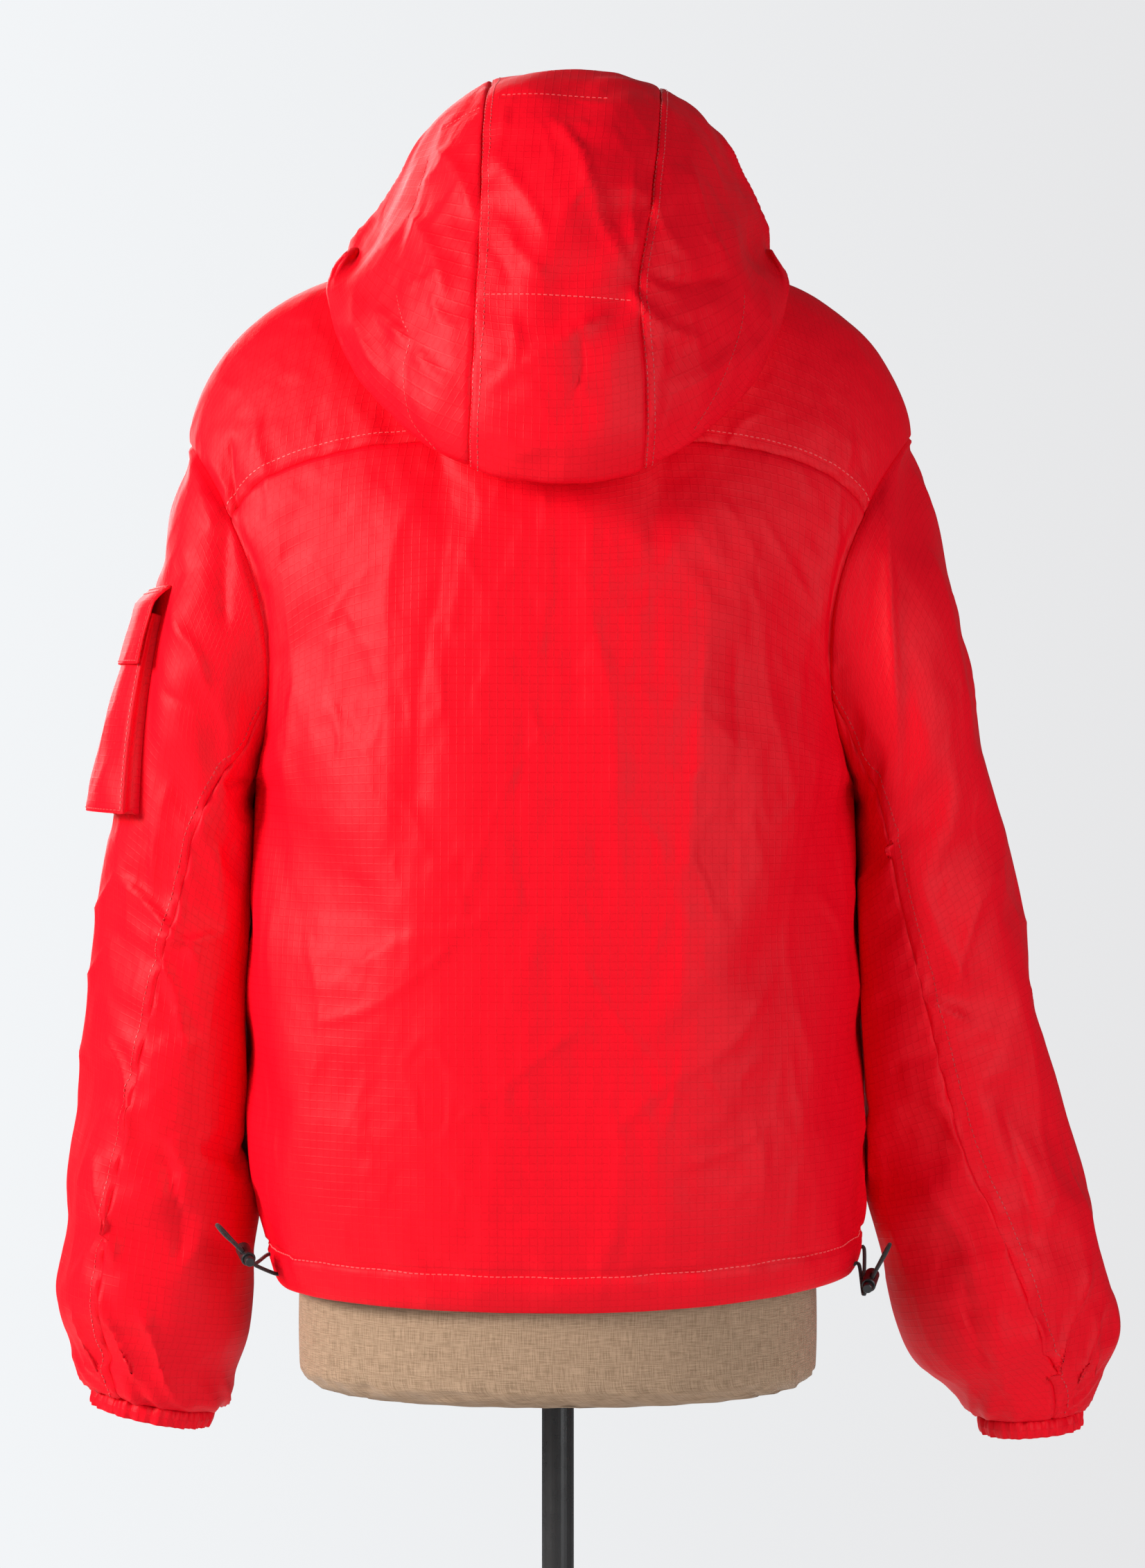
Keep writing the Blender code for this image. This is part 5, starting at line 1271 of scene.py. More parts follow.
clothLook = dict(
    thick=0.0021, middleStep=0.0095, fineStep=0.0028,   # steps of the simulated and the final cloth
    edge=(0.0009, 0.0022, 0.0042, 0.0068, 0.0100),      # closer rows along every edge
    coarseEdge=(0.0022, 0.0068),
    seamDepth=0.0011, seamWidth=0.0014, neckShare=0.2,  # shallower at the neck
    pucker=0.00035, puckerPitch=0.0090, puckerReach=0.009,
)
hemLook = dict(
    depth=0.026, groove=0.0020, grooveWidth=0.0021, pucker=0.0012, swell=0.0014,
)
gatherLook = dict(   # the sleeve above its cuff, drawn in and gathered
    height=0.0036, reach=0.022, pitch=0.0105, uneven=0.033,
    draw=0.0075, drawFrom=0.018, drawAt=0.034, drawWidth=0.022,
)
hoodRow = dict(width=0.0022, depth=0.0008)   # the groove of a row sewn across the hood


def placesAlong(path, start, end, step, near=(), far=()):
    # Parameters that lie at even distances along a path over the surface, and those distances.
    dense = np.linspace(start, end, 500)
    points = np.array([path(value) for value in dense])
    lengths = lengthsOf(points)
    wanted = spacing(lengths[-1], step, near, far)
    return np.interp(wanted, lengths, dense), wanted


bodyTop = lowerRows + len(upperRows) - 1
yokeRow = lowerRows + yokePlace


def bodyGrid(rows, shares, back, side=0):
    # side 0 spans the whole back; 1 and -1 are the two fronts, from the side to the zip.
    grid = []
    for row in rows:
        reach = abs(bodySurface(row, 0.999999, back)[0])
        least = frontOpening / 2 / reach if side else 0.0
        acrosses = shares if not side else [side * (least + (1 - least) * s) for s in shares]
        grid.append([bodySurface(row, across, back) for across in acrosses])
    return np.array(grid)


def bodyAcross(start, end, near, far):
    # Even steps round the body, found on a row below the arms.
    turns = placesAlong(
        lambda turn: lowerBody(5, math.sin(turn), True), math.asin(start), math.asin(end),
        clothLook["middleStep"], near, far,
    )
    return np.clip(np.sin(turns[0]), -1, 1), turns[1]


def makeBody():
    edge, step = clothLook["coarseEdge"], clothLook["middleStep"]
    wide, wideAt = bodyAcross(1, -1, edge, edge)
    half, halfAt = bodyAcross(1, 0, edge, edge)
    made = {}
    for name, back, side, first, last, columns, columnsAt in (
        ("back_panel", True, 0, 0, yokeRow, wide, wideAt),
        ("back_yoke", True, 0, yokeRow, bodyTop, wide, wideAt),
        ("front_left", False, 1, 0, bodyTop, half, halfAt),
        ("front_right", False, -1, 0, bodyTop, half, halfAt),
    ):
        rows, rowsAt = placesAlong(
            lambda row, back=back: bodySurface(row, 0.45, back), first, last, step, edge, edge
        )
        made[name] = (bodyGrid(rows, columns, back, side), rowsAt, columnsAt, (0, 0, 1.1))
    return made


def makeSleeves():
    made = {}
    edge, step = clothLook["coarseEdge"], clothLook["middleStep"]
    top, under = armholeTurns()
    for side in ("left", "right"):
        rings = sleeveRings[side]
        knots = np.arange(len(rings) + 1)
        seams = np.array([top[-1], *(row[6] for row in rings)])
        sign = 1 if side == "left" else -1

        def seamTurn(ring):
            return float(splineWeights(knots, [ring])[0] @ seams)

        def ends(ring, piece):
            fade = min(1.0, ring / 3)
            if piece == "top":
                return top[0] + (frontSleeveSeam - 360 - top[0]) * fade, seamTurn(ring)
            return seamTurn(ring), under[-1] + (frontSleeveSeam - under[-1]) * fade

        for piece in ("top", "under"):
            rows, rowsAt = placesAlong(
                lambda ring: sleeveSurface(side, ring, 90), 0, len(rings), step, edge, edge
            )
            start, end = ends(6, piece)
            turns, turnsAt = placesAlong(
                lambda turn: sleeveSurface(side, 6, turn), start, end, step, edge, edge
            )
            shares = (turns - start) / (end - start)
            grid = []
            for ring in rows:
                low, high = ends(ring, piece)
                grid.append([sleeveSurface(side, ring, low + (high - low) * s) for s in shares])
            middle = (0.26 * sign, -0.01, 1.0)
            made[f"{side}_{piece}_sleeve"] = (np.array(grid), rowsAt, turnsAt, middle)
    return made


def hoodTurns():
    # Turns of the hood's columns at each of its rows, right face edge to left.
    def panelTurn(ring, side):
        row = tableAt(hoodRings, ring)
        half, panel = (row[6], row[9]) if side > 0 else (row[7], row[10])
        turn = math.degrees(math.asin(min(panel / half, 0.98)))
        return side * (neckPanelTurn + (turn - neckPanelTurn) * min(ring, 1.0))

    turns = []
    shares = np.array(sideHoodColumns) / sideHoodColumns[-1]
    for ring in hoodPlaces:
        opening = tableAt(hoodRings, ring)[8]
        last = 180.0 if ring == 0 else opening
        seams = panelTurn(ring, -1), panelTurn(ring, 1)
        right = (seams[0] + (-last - seams[0]) * shares)[::-1]
        left = seams[1] + (last - seams[1]) * shares
        right[0], left[-1] = -opening, opening
        turns.append([*right, *np.linspace(*seams, centreHoodColumns)[1:-1], *left])
    return turns


hoodCorner = dict(x=0.112, fade=0.02, z=1.446, tall=0.013, depth=0.0075)


def makeHood():
    coarse = hoodOuter(hoodPlaces, hoodTurns())
    x, _, z = np.moveaxis(coarse, 2, 0)
    corner = hoodCorner  # where the hood turns over each shoulder, drawn in to a softer turn
    narrow = np.exp(-(((z - corner["z"]) / corner["tall"]) ** 2))
    narrow = narrow * ease((np.abs(x) - corner["x"]) / corner["fade"])
    coarse[..., 0] = x - corner["depth"] * np.sign(x) * narrow
    rowKnots, columnKnots = lengthsAlong(coarse, 0), lengthsAlong(coarse, 1)
    edge, step = clothLook["coarseEdge"], clothLook["middleStep"]
    one = len(sideHoodColumns) - 1
    two = one + centreHoodColumns - 1
    rows = spacing(rowKnots[-1], step, edge, edge)
    made = {}
    for name, first, last in (
        ("hood_right", 0, one), ("hood_centre", one, two), ("hood_left", two, len(columnKnots) - 1),
    ):
        width = columnKnots[last] - columnKnots[first]
        columns = columnKnots[first] + spacing(width, step, edge, edge)
        grid = refine(coarse, rowKnots, rows, columnKnots, columns)
        made[name] = (grid, rows, columns - columns[0], (0, 0.02, 1.46))
    return made


clothRoom = dict(
    free=0.0095, taken=0.0088, hoodOut=0.0080, hoodIn=0.0060,   # in all, and what a neighbour takes
    hood=1.43, side=0.165, underarm=1.22, shoulder=1.315, seam=1.29,   # where the neighbours start
    slip=0.004,   # how far the cloth may slip along its own surface
)


def outwardRoom(name, panel):
    # How far each point may swell outwards, and inwards, before it meets a neighbour.
    room, points, normals = clothRoom, panel.points, panel.normals
    x, z = np.abs(points[..., 0]), points[..., 2]
    out = into = np.zeros(x.shape)   # how much of the room a neighbour takes
    if "sleeve" in name:
        inward = -normals[..., 0] * np.sign(points[..., 0])
        out = room["taken"] * ease((inward + 0.15) / 0.5)
    elif "hood" in name:
        under = ease((0.35 - normals[..., 2]) / 0.4) * ease((room["hood"] - z) / 0.03)
        out, into = room["hoodOut"] * under, room["hoodIn"] * under
    else:
        side = ease((x - room["side"]) / 0.02) * ease((room["underarm"] - z) / 0.04)
        shoulder = ease((z - room["shoulder"]) / 0.025)
        out = room["taken"] * np.maximum(side, shoulder * 0.85)
        into = room["taken"] * ease((z - room["seam"]) / 0.03)
    return room["free"] - out, room["free"] - into


panelSims = {  # how each family of panels swells and wrinkles
    "body": dict(stiffness=8.0, bending=9.0, pressure=0.08, gravity=0.15, spare=0.020, frames=24),
    "sleeve": dict(stiffness=8.0, bending=6.0, pressure=0.12, gravity=0.25, spare=0.034, frames=24),
    "hood": dict(stiffness=8.0, bending=6.0, pressure=0.08, gravity=0.15, spare=0.026, frames=24),
}


def panelFamily(name):
    return "sleeve" if "sleeve" in name else "hood" if "hood" in name else "body"


calmReach = dict(   # how far from each edge the cloth still keeps to its own surface
    pocket=0.018, pocketSide=0.060, cuff=0.030, armhole=0.012, neck=0.030, face=0.03, seam=0.012,
    hem=0.03, zip=0.030,
)


def calmAreas(panel):
    # 0 where the cloth keeps to its own surface: under the pocket, at the cuffs, neck and zip.
    reach = calmReach
    y, z = panel.points[..., 1], panel.points[..., 2]
    calm = np.ones(y.shape)
    if panel.name == "left_top_sleeve":
        gap = np.maximum(pocketBottomZ - 0.004 - z, z - flapTopZ - 0.003)
        gap = np.maximum(np.abs(y - pocketY) - reach["pocketSide"], gap)
        side = ease((panel.normals[..., 0] - 0.1) / 0.3)
        calm = 1 - side * (1 - ease(gap / reach["pocket"]))
    if "sleeve" in panel.name:
        low = panel.sideBy(("low", "high"), 2, min)
        high = "low" if low == "high" else "high"
        calm = calm * panel.risesFrom(low, reach["cuff"]) * panel.risesFrom(high, reach["armhole"])
    elif "hood" in panel.name:
        calm = calm * panel.risesFrom("low", reach["neck"])
        calm = calm * (0.25 + 0.75 * panel.risesFrom("high", reach["face"]))
    else:
        calm = calm * panel.risesFrom("first", reach["seam"]) * panel.risesFrom("last", reach["seam"])
        if "yoke" not in panel.name:
            calm = calm * (0.35 + 0.65 * panel.risesFrom("low", reach["hem"]))
        if "front" in panel.name:
            calm = calm * panel.risesFrom("last", reach["zip"]) * panel.risesFrom("high", reach["neck"])
    return calm


def simulated(name, grid, away):
    # How far the panel moves when it is left to swell, as one vector for each point.
    panel = Panel(name, grid, np.array(away))
    pinned = np.zeros(grid.shape[:2])
    pinned[[0, -1], :] = pinned[:, [0, -1]] = 1.0
    outward = panel.normals[grid.shape[0] // 2, grid.shape[1] // 2]
    cloth = dict(panelSims[panelFamily(name)], outward=outward)
    return simulate(name + "_sim", grid, pinned, cloth)


def settle(panel, moved):
    # Moves the panel by its simulation, soft waves and the listed folds, within its room.
    look = rollingLook["hood" if "hood" in panel.name else "body"]
    outward = panel.outward
    room, deep = outwardRoom(panel.name, panel)
    waves = rolling(panel, look, 31)
    folds = foldHeights(panel.points, outward, laidFolds)
    calm = calmAreas(panel)
    out = (look["simShare"] * np.sum(moved * outward, axis=2) + waves + folds) * calm
    side = moved - np.sum(moved * outward, axis=2)[..., None] * outward
    limit = np.where(out > 0, room, deep)
    out = limit * np.tanh(out / limit)
    slip, reach = clothRoom["slip"], np.linalg.norm(side, axis=2, keepdims=True)
    side = side * (slip * np.tanh(reach / slip) / np.maximum(reach, 1e-9)) * calm[..., None]
    panel.points = panel.points + out[..., None] * outward + side
    panel.outward = None
    panel.measure()


allEdges = ("first", "last", "low", "high")
seamEdges = {  # edges sewn to another panel; the rest are open
    "back_panel": ("first", "last", "high"), "back_yoke": allEdges,
    "front_left": ("first", "high"), "front_right": ("first", "high"),
    "left_top_sleeve": allEdges, "left_under_sleeve": allEdges,
    "right_top_sleeve": allEdges, "right_under_sleeve": allEdges,
    "hood_right": ("low", "last"), "hood_centre": ("low", "first", "last"),
    "hood_left": ("low", "first"),
}


cordLook = dict(diameter=0.0025, points=110, endGap=0.0010, pitch=0.0029, tail=0.0190, wide=0.0052)
locks = {  # middle of the cord's hole, the way the button points, the way the strands cross
    "left": dict(at=(0.1990, 0.0670, 0.8030), axis=(-0.30, 0.90, -0.30), across=(0.66, 0.05, 0.75)),
    "right": dict(at=(-0.2000, 0.0640, 0.7860), axis=(0.22, 0.90, -0.32), across=(-0.45, 0.05, 0.89)),
}
cordEnds = {  # y and z of the two ends of each cord at the hem
    "left": ((0.0520, 0.7895), (0.0300, 0.7990)),
    "right": ((0.0480, 0.7945), (0.0260, 0.8020)),
}
lockRadius = 0.0047


def lockFrame(side):
    # Local Z is the way the button points, local X the way the strands cross.
    lock = locks[side]
    axis = Vector(lock["axis"]).normalized()
    across = Vector(lock["across"])
    across = (across - across.dot(axis) * axis).normalized()
    matrix = Matrix((across, axis.cross(across), axis)).transposed().to_4x4()
    matrix.translation = Vector(lock["at"])
    return matrix


def cordRoute(side):
    matrix, half = lockFrame(side), cordLook["pitch"] / 2
    sign = 1 if side == "left" else -1
    start, end = (
        Vector((sign * (bodySideX(side, y, z) + cordLook["endGap"]), y, z)) for y, z in cordEnds[side]
    )
    near, far = -2 * lockRadius, 2 * lockRadius

    def local(x, z):
        return tuple(matrix @ Vector((x, 0, z)))

    out = Vector((sign, 0.15, 0))
    tail, wide = cordLook["tail"], cordLook["wide"]
    route = [tuple(start), tuple(start + out * 0.004)]
    route += [local(x, half) for x in (near, near / 2, 0.0, far / 2, far)]
    route += [
        local(far + tail * 0.28, half * 1.6), local(far + tail * 0.55, wide * 0.85),
        local(far + tail * 0.8, wide), local(far + tail, wide * 0.55), local(far + tail * 1.07, 0.0),
        local(far + tail, -wide * 0.55), local(far + tail * 0.8, -wide),
        local(far + tail * 0.55, -wide * 0.85), local(far + tail * 0.28, -half * 1.6),
    ]
    route += [local(x, -half) for x in (far, far / 2, 0.0, near / 2, near)]
    return route + [tuple(end + out * 0.004), tuple(end)]


def smoothRoute(points, count):
    # Points at equal steps along a smooth curve through the given ones.
    places = np.linspace(0, len(points) - 1, 12 * len(points))
    dense = np.array([tableAt(points, place) for place in places])
    lengths = lengthsOf(dense)
    return readLine(np.linspace(0, lengths[-1], count), lengths, dense), lengths[-1]


def makeCords(material):
    for side in ("left", "right"):
        points, length = smoothRoute(cordRoute(side), cordLook["points"])
        data = bpy.data.curves.new(f"{side}_cord", "CURVE")
        data.dimensions = "3D"
        data.bevel_depth, data.bevel_resolution = cordLook["diameter"] / 2, 4
        data.use_fill_caps = True
        line = data.splines.new("POLY")
        line.points.add(len(points) - 1)
        for point, place in zip(line.points, points):
            point.co = (*place, 1.0)
        data.materials.append(material)
        cord = placed(f"{side}_cord", data)
        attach(cord, mainBody)
        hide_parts(f"{side}_drawcord")
        length = round(float(length), 4)
        print(side, "cord", length)


cuffLook = dict(
    columns=330, thick=0.0018, gather=0.0034, gatherPitch=0.0060,
    rows=(-0.0052, -0.0040, -0.002, 0.0004, 0.0016, 0.0034, 0.0054, 0.0074, 0.0092, 0.0103, 0.0108),
    bulge=0.0008, tuck=0.0034, inset=0.0006,   # rounded in the middle, tucked into the sleeve above
    fullness=1.2, height=0.017,                # of the band before it is gathered
)


def cuffFrame(side):
    # The sleeve's opening: points round it, its middle, the way down and the way out at each point.
    last = len(sleeveRings[side])
    turns = np.linspace(0, 360, cuffLook["columns"], False)
    ring = np.array([sleeveSurface(side, last, turn) for turn in turns])
    above = np.array([sleeveSurface(side, last - 0.05, turn) for turn in turns])
    centre = ring.mean(axis=0)
    spread = ring - centre
    _, _, frame = np.linalg.svd(spread, full_matrices=False)
    down = frame[2] if frame[2] @ (centre - above.mean(axis=0)) > 0 else -frame[2]
    heights = spread @ down
    level = spread - np.outer(heights, down)
    out = level / np.linalg.norm(level, axis=1, keepdims=True)
    return centre, level, out, down, heights.max()


def closedTube(name, outer, inner, material, metres):
    # A ring-shaped wall from two grids whose columns run all the way round.
    index, quads = gridFaces(*outer.shape[:2], True)
    over, count = np.roll(index, -1, axis=1), index.size
    rims = [
        np.stack([over[i], index[i], index[i] + count, over[i] + count], axis=-1) for i in (0, -1)
    ]
    faces = np.concatenate([quads, quads[:, ::-1] + count, rims[0], rims[1][:, ::-1]])
    points, flat = np.concatenate([outer, inner]), np.concatenate([metres, metres])
    made = addMesh(name, points, faces.tolist(), material, flat)
    shape = bmesh.new()
    shape.from_mesh(made.data)
    bmesh.ops.recalc_face_normals(shape, faces=shape.faces)
    shape.to_mesh(made.data)
    shape.free()
    return made


def makeCuffs(material):
    look = cuffLook
    for side, seed in (("left", 5), ("right", 8)):
        centre, level, out, down, drop = cuffFrame(side)
        around = lengthsOf(level)
        pinch = 0.6 - 1.6 * np.sqrt(np.abs(1 - ripple(around, look["gatherPitch"], seed)) / 2)
        gathers = 0.7 * pinch + 0.3 * ripple(around, look["gatherPitch"] * 0.5, seed + 10)
        rows, metres = [], []
        for depth in look["rows"]:
            share = np.clip(depth / cuffLength, 0, 1)
            middle = 2 * share - 1
            swell = look["bulge"] * (1 - middle**4)
            swell = swell + look["gather"] * (0.35 + 0.65 * abs(middle)) * gathers
            inset = look["tuck"] * ease(np.array(-depth / 0.004)) + look["inset"] + cuffTaper * share
            rows.append(centre + level + (swell - inset)[:, None] * out + down * (drop + depth))
            metres.append(np.stack([around, np.full(len(around), depth)], axis=-1))
        outer = np.array(rows)
        inner = outer - out * look["thick"]
        made = closedTube(f"{side}_cuff_band", outer, inner, material, np.array(metres))
        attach(made, mainBody)
        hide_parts(f"{side}_cuff")


pocketLook = dict(
    cloth=0.0011, step=0.0042, foot=0.0004,
    flapFoot=0.0003, flapOver=0.0022,   # how far the flap stands off the sleeve, then the pocket
)
patchLook = {  # how far each puffs up, from its edges on; what its edges sink; rows of stitches
    "pocket_front": dict(
        puff=0.0022, rise=0.02, scale=34, seed=3, sink=0.0008, sinkWidth=0.002, stitchAt=0.0022,
        rowsBelow=(),
    ),
    "pocket_flap": dict(
        puff=0.0008, rise=0.01, scale=40, seed=7, sink=0.0005, sinkWidth=0.0015, stitchAt=0.0020,
        rowsBelow=(0.0030, 0.0072),
    ),
}
gussetLook = dict(fold=0.0030, crumple=0.0010, scale=60, seed=11)


def pocketGrids():
    # Front, bellows strip and flap as grids of their outer faces.
    look = pocketLook

    def stand(share):
        return pocketStandTop + (pocketStandBottom - pocketStandTop) * share

    def heightAt(share):
        return pocketTopZ + (pocketBottomZ - pocketTopZ) * share

    def frontStand(share, span):
        return stand(share) * (1 - pocketEdgeDrop * abs(span) ** 4)

    def pocketPoint(share, span, lift):
        return sleeveAt(heightAt(share), pocketY + pocketHalfWidth * span, lift)

    def flapPoint(share, span):
        z = flapTopZ + (flapBottomZ - flapTopZ) * share
        pocketShare = max(0.0, (pocketTopZ - z) / (pocketTopZ - pocketBottomZ))
        over = stand(pocketShare) + look["flapOver"]
        rise = min(1.0, share / flapRiseShare) ** 0.8
        lift = look["flapFoot"] + (over - look["flapFoot"]) * rise + look["cloth"]
        return sleeveAt(z, pocketY + flapHalfWidth * span, lift)

    levels, spans = np.linspace(0, 1, 30), np.linspace(-1, 1, 29)
    front = [[pocketPoint(s, t, frontStand(s, t) + look["cloth"]) for t in spans] for s in levels]
    path = [(s, -1.0) for s in levels] + [(1.0, t) for t in spans[1:-1]]
    path += [(s, 1.0) for s in reversed(levels)]
    foot = look["foot"]
    strip = [
        [pocketPoint(s, t, foot + (frontStand(s, t) - foot) * height) for s, t in path]
        for height in np.linspace(0, 1, 7)
    ]
    flap = [[flapPoint(s, t) for t in np.linspace(-1, 1, 31)] for s in np.linspace(0, 1, 16)]
    return {"pocket_front": front, "pocket_gusset": strip, "pocket_flap": flap}


def makePocket(material):
    edge, step = clothLook["edge"][:4], pocketLook["step"]
    tracks = []
    for name, grid in pocketGrids().items():
        grid = np.array(grid)
        rows, columns = lengthsAlong(grid, 0), lengthsAlong(grid, 1)
        rowEdge = edge if name in patchLook else ()
        fineRows = spacing(rows[-1], step, rowEdge, rowEdge)
        grid = refine(grid, rows, fineRows, columns, spacing(columns[-1], step, edge, edge))
        panel = Panel(name, grid, np.array((0.22, pocketY, 1.15)))
        if name in patchLook:
            look = patchLook[name]
            away = np.minimum(panel.fromEdge("high"), np.minimum(panel.across, panel.fromEdge("last")))
            puff = ease(away / look["rise"]) * softNoise(panel.points, look["scale"], look["seed"])
            panel.push(look["puff"] * puff - look["sink"] * np.exp(-((away / look["sinkWidth"]) ** 2)))
            tracks += [panel.line(side, look["stitchAt"]) for side in ("first", "last", "high")]
            tracks += [panel.line("low", gap) for gap in look["rowsBelow"]]
        else:  # the bellows folds inwards between its two seams
            look = gussetLook
            inwards = np.sin(math.pi * panel.down / panel.down[-1:])
            crumple = look["crumple"] * softNoise(panel.points, look["scale"], look["seed"])
            panel.push((crumple - look["fold"]) * inwards)
        made = shell(panel, pocketLook["cloth"], material)
        made.name = name + "_cloth"
        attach(made, mainBody)
        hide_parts(name)
    return tracks


formLook = dict(
    columns=168, seamLeft=0.122, seamRight=0.130, seamWidth=0.0016, seamDepth=0.0022, seamTop=1.3,
    gather=0.0024, gatherZ=0.716, gatherReach=0.010, gatherPitch=0.013, gatherSeed=31,
    bottom=((0.12, 0.0068), (0.35, 0.0053), (0.6, 0.0038), (0.8, 0.0023), (0.93, 0.0012)),
)   # bottom: share of the lowest ring's size, and height above it


def makeForm(linen):
    look = formLook
    low, half, deep, middle = formRings[0]
    rows = [(low + lift, half * share, deep * share, middle) for share, lift in look["bottom"]]
    rows += [tableAt(formRings, ring) for ring in np.arange(0, len(formRings) - 0.99, 0.2)]
    angles = np.linspace(0, 2 * math.pi, look["columns"], False)
    power = 2 / formSquareness
    points, metres, along = [], [], 0.0
    for z, half, deep, middle in rows:
        loop = np.array([
            [half * signedPower(math.cos(a), power), middle + deep * signedPower(math.sin(a), power), z]
            for a in angles
        ])
        out = np.stack([np.cos(angles) * deep, np.sin(angles) * half, 0 * angles], axis=1)
        out /= np.linalg.norm(out, axis=1, keepdims=True)
        around = lengthsOf(loop)
        pleats = look["gather"] * math.exp(-(((z - look["gatherZ"]) / look["gatherReach"]) ** 2))
        push = pleats * ripple(around, look["gatherPitch"], look["gatherSeed"])
        if z < look["seamTop"]:
            seams = np.abs(loop[:, 0] - look["seamLeft"]), np.abs(loop[:, 0] + look["seamRight"])
            push = push + grooveAt(np.minimum(*seams), 0.0, look["seamWidth"], look["seamDepth"])
        points.append(loop + out * push[:, None])
        if len(points) > 1:
            along += float(np.linalg.norm(points[-1] - points[-2], axis=1).mean())
        metres.append(np.stack([around, np.full(len(around), along)], axis=-1))
    index, quads = gridFaces(len(rows), len(angles), True)
    faces = quads.tolist() + [index[0, ::-1].tolist(), index[-1].tolist()]
    made = addMesh("form_linen", points, faces, linen, metres)
    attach(made, mainBody)
    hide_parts("dress_form")


zipLook = dict(
    pitch=0.0029, tooth=(0.0030, 0.0013, 0.0017), reach=0.00075, end=0.002, bevel=0.00018,
    tapeThick=0.0009, teethSunk=0.0004,   # below the fronts' outer face
    head=0.62, face=(0.86, 0.82),         # how much narrower a tooth's head and its face are
)


def frontCentre(z):
    rows = [bodySurface(row, 0.0, False) for row in bodyPlaces]
    return float(np.interp(z, [p[2] for p in rows], [p[1] for p in rows])) - zipProud


def makeZip(tape):
    look = zipLook
    heights = np.linspace(zipBottomZ, zipTopZ, 60)
    across = np.linspace(zipWidth / 2, -zipWidth / 2, 7)
    grid = np.array([[(x, frontCentre(z) + look["tapeThick"], z) for x in across] for z in heights])
    made = shell(Panel("zip_tape", grid, np.array((0, 0.1, 1.1))), look["tapeThick"], tape)
    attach(made, mainBody)
    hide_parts("front_zip")
    shape = bmesh.new()
    step = look["pitch"] / 2
    for k in range(int((zipTopZ - zipBottomZ - 2 * look["end"]) / look["pitch"] * 2)):
        z = zipBottomZ + look["end"] + k * step
        side = 1 if k % 2 else -1
        tooth = bmesh.ops.create_cube(shape, size=1.0)["verts"]
        for vert in tooth:
            if vert.co.x * side < 0:  # the narrower head crosses the middle
                vert.co.z *= look["head"]
            if vert.co.y < 0:
                vert.co.x *= look["face"][0]
                vert.co.z *= look["face"][1]
        bmesh.ops.scale(shape, vec=look["tooth"], verts=tooth)
        middle = (side * look["reach"], frontCentre(z) + look["teethSunk"], z)
        bmesh.ops.translate(shape, vec=middle, verts=tooth)
    teeth = addMesh("zip_teeth", [], [], tape)
    shape.to_mesh(teeth.data)
    shape.free()
    bevel = teeth.modifiers.new("Edges", "BEVEL")
    bevel.width, bevel.segments = look["bevel"], 1
    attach(teeth, mainBody)


def coatParts():
    # Better materials on the hard parts that keep their own shape.
    finishes = {
        "black_plastic": blackPlastic("lock_plastic"), "black_steel": blackSteel(),
        "black_zip_metal": zipMetal(), "black_cord": braidedCord(),
    }
    slots = {row["node"]: row["material_slot"] for row in frame["record"]["subparts"]}
    for node, finish in slots.items():
        if finish in finishes and node in frame["nodes"]:
            for place in frame["nodes"][node].material_slots:
                place.material = finishes[finish]


threadSizes = dict(length=0.0027, pitch=0.0037, width=0.00060, height=0.00042, sunk=0.00010)
brightRows = ("yoke", "back_panel", "hood")   # the others are sewn in a thread like the cloth
threadColours = dict(bright=(0.93, 0.06, 0.065), tonal=(0.60, 0.002, 0.010))
rowGaps = {   # how far each row is sewn from its seam
    "back_yoke": 0.008, "hood_centre": (0.0070, 0.0018), "hood_right": (0.0062, 0.0016),
    "left_top_sleeve": 0.0065, "right_top_sleeve": 0.0095,
}

hoodLines = {  # rows sewn across the hood, seen from the back
    "hood_centre": [
        [(0.0352, 1.5406), (0.0023, 1.5393), (-0.0339, 1.5375)],
        [(0.0440, 1.4064), (0.0151, 1.4054), (-0.0194, 1.4037), (-0.0480, 1.4020)],
    ],
    "hood_left": [
        [(0.0736, 1.5230), (0.0587, 1.5294), (0.0460, 1.5333)],
        [
            (0.0829, 1.5029), (0.0898, 1.4769), (0.0977, 1.4530), (0.1007, 1.4170), (0.0968, 1.3953),
            (0.0916, 1.3814), (0.0955, 1.3614), (0.0907, 1.3315), (0.0729, 1.3098),
        ],
    ],
    "hood_right": [
        [(-0.1185, 1.4252), (-0.1154, 1.3914), (-0.1007, 1.3514), (-0.0846, 1.3237)],
    ],
}


def backLine(panel, line):
    # A line drawn over the panel as seen from the back: its points and normals on the cloth.
    facing = panel.normals[..., 1] > 0.1
    spots, normals = panel.points[facing], panel.normals[facing]
    found, out = [], []
    for x, z in smoothLine(line):
        gap = (spots[:, 0] - x) ** 2 + (spots[:, 2] - z) ** 2
        near = np.argsort(gap)[:4]
        weight = 1 / (gap[near] + 1e-7)
        spot, facing = spots[near], normals[near]
        slope = facing[:, 0] * (x - spot[:, 0]) + facing[:, 2] * (z - spot[:, 2])
        y = np.sum(weight * (spot[:, 1] - slope / facing[:, 1])) / weight.sum()
        found.append((x, y, z))
        out.append(unit((facing * weight[:, None]).sum(axis=0)))
    return np.array(found), np.array(out)


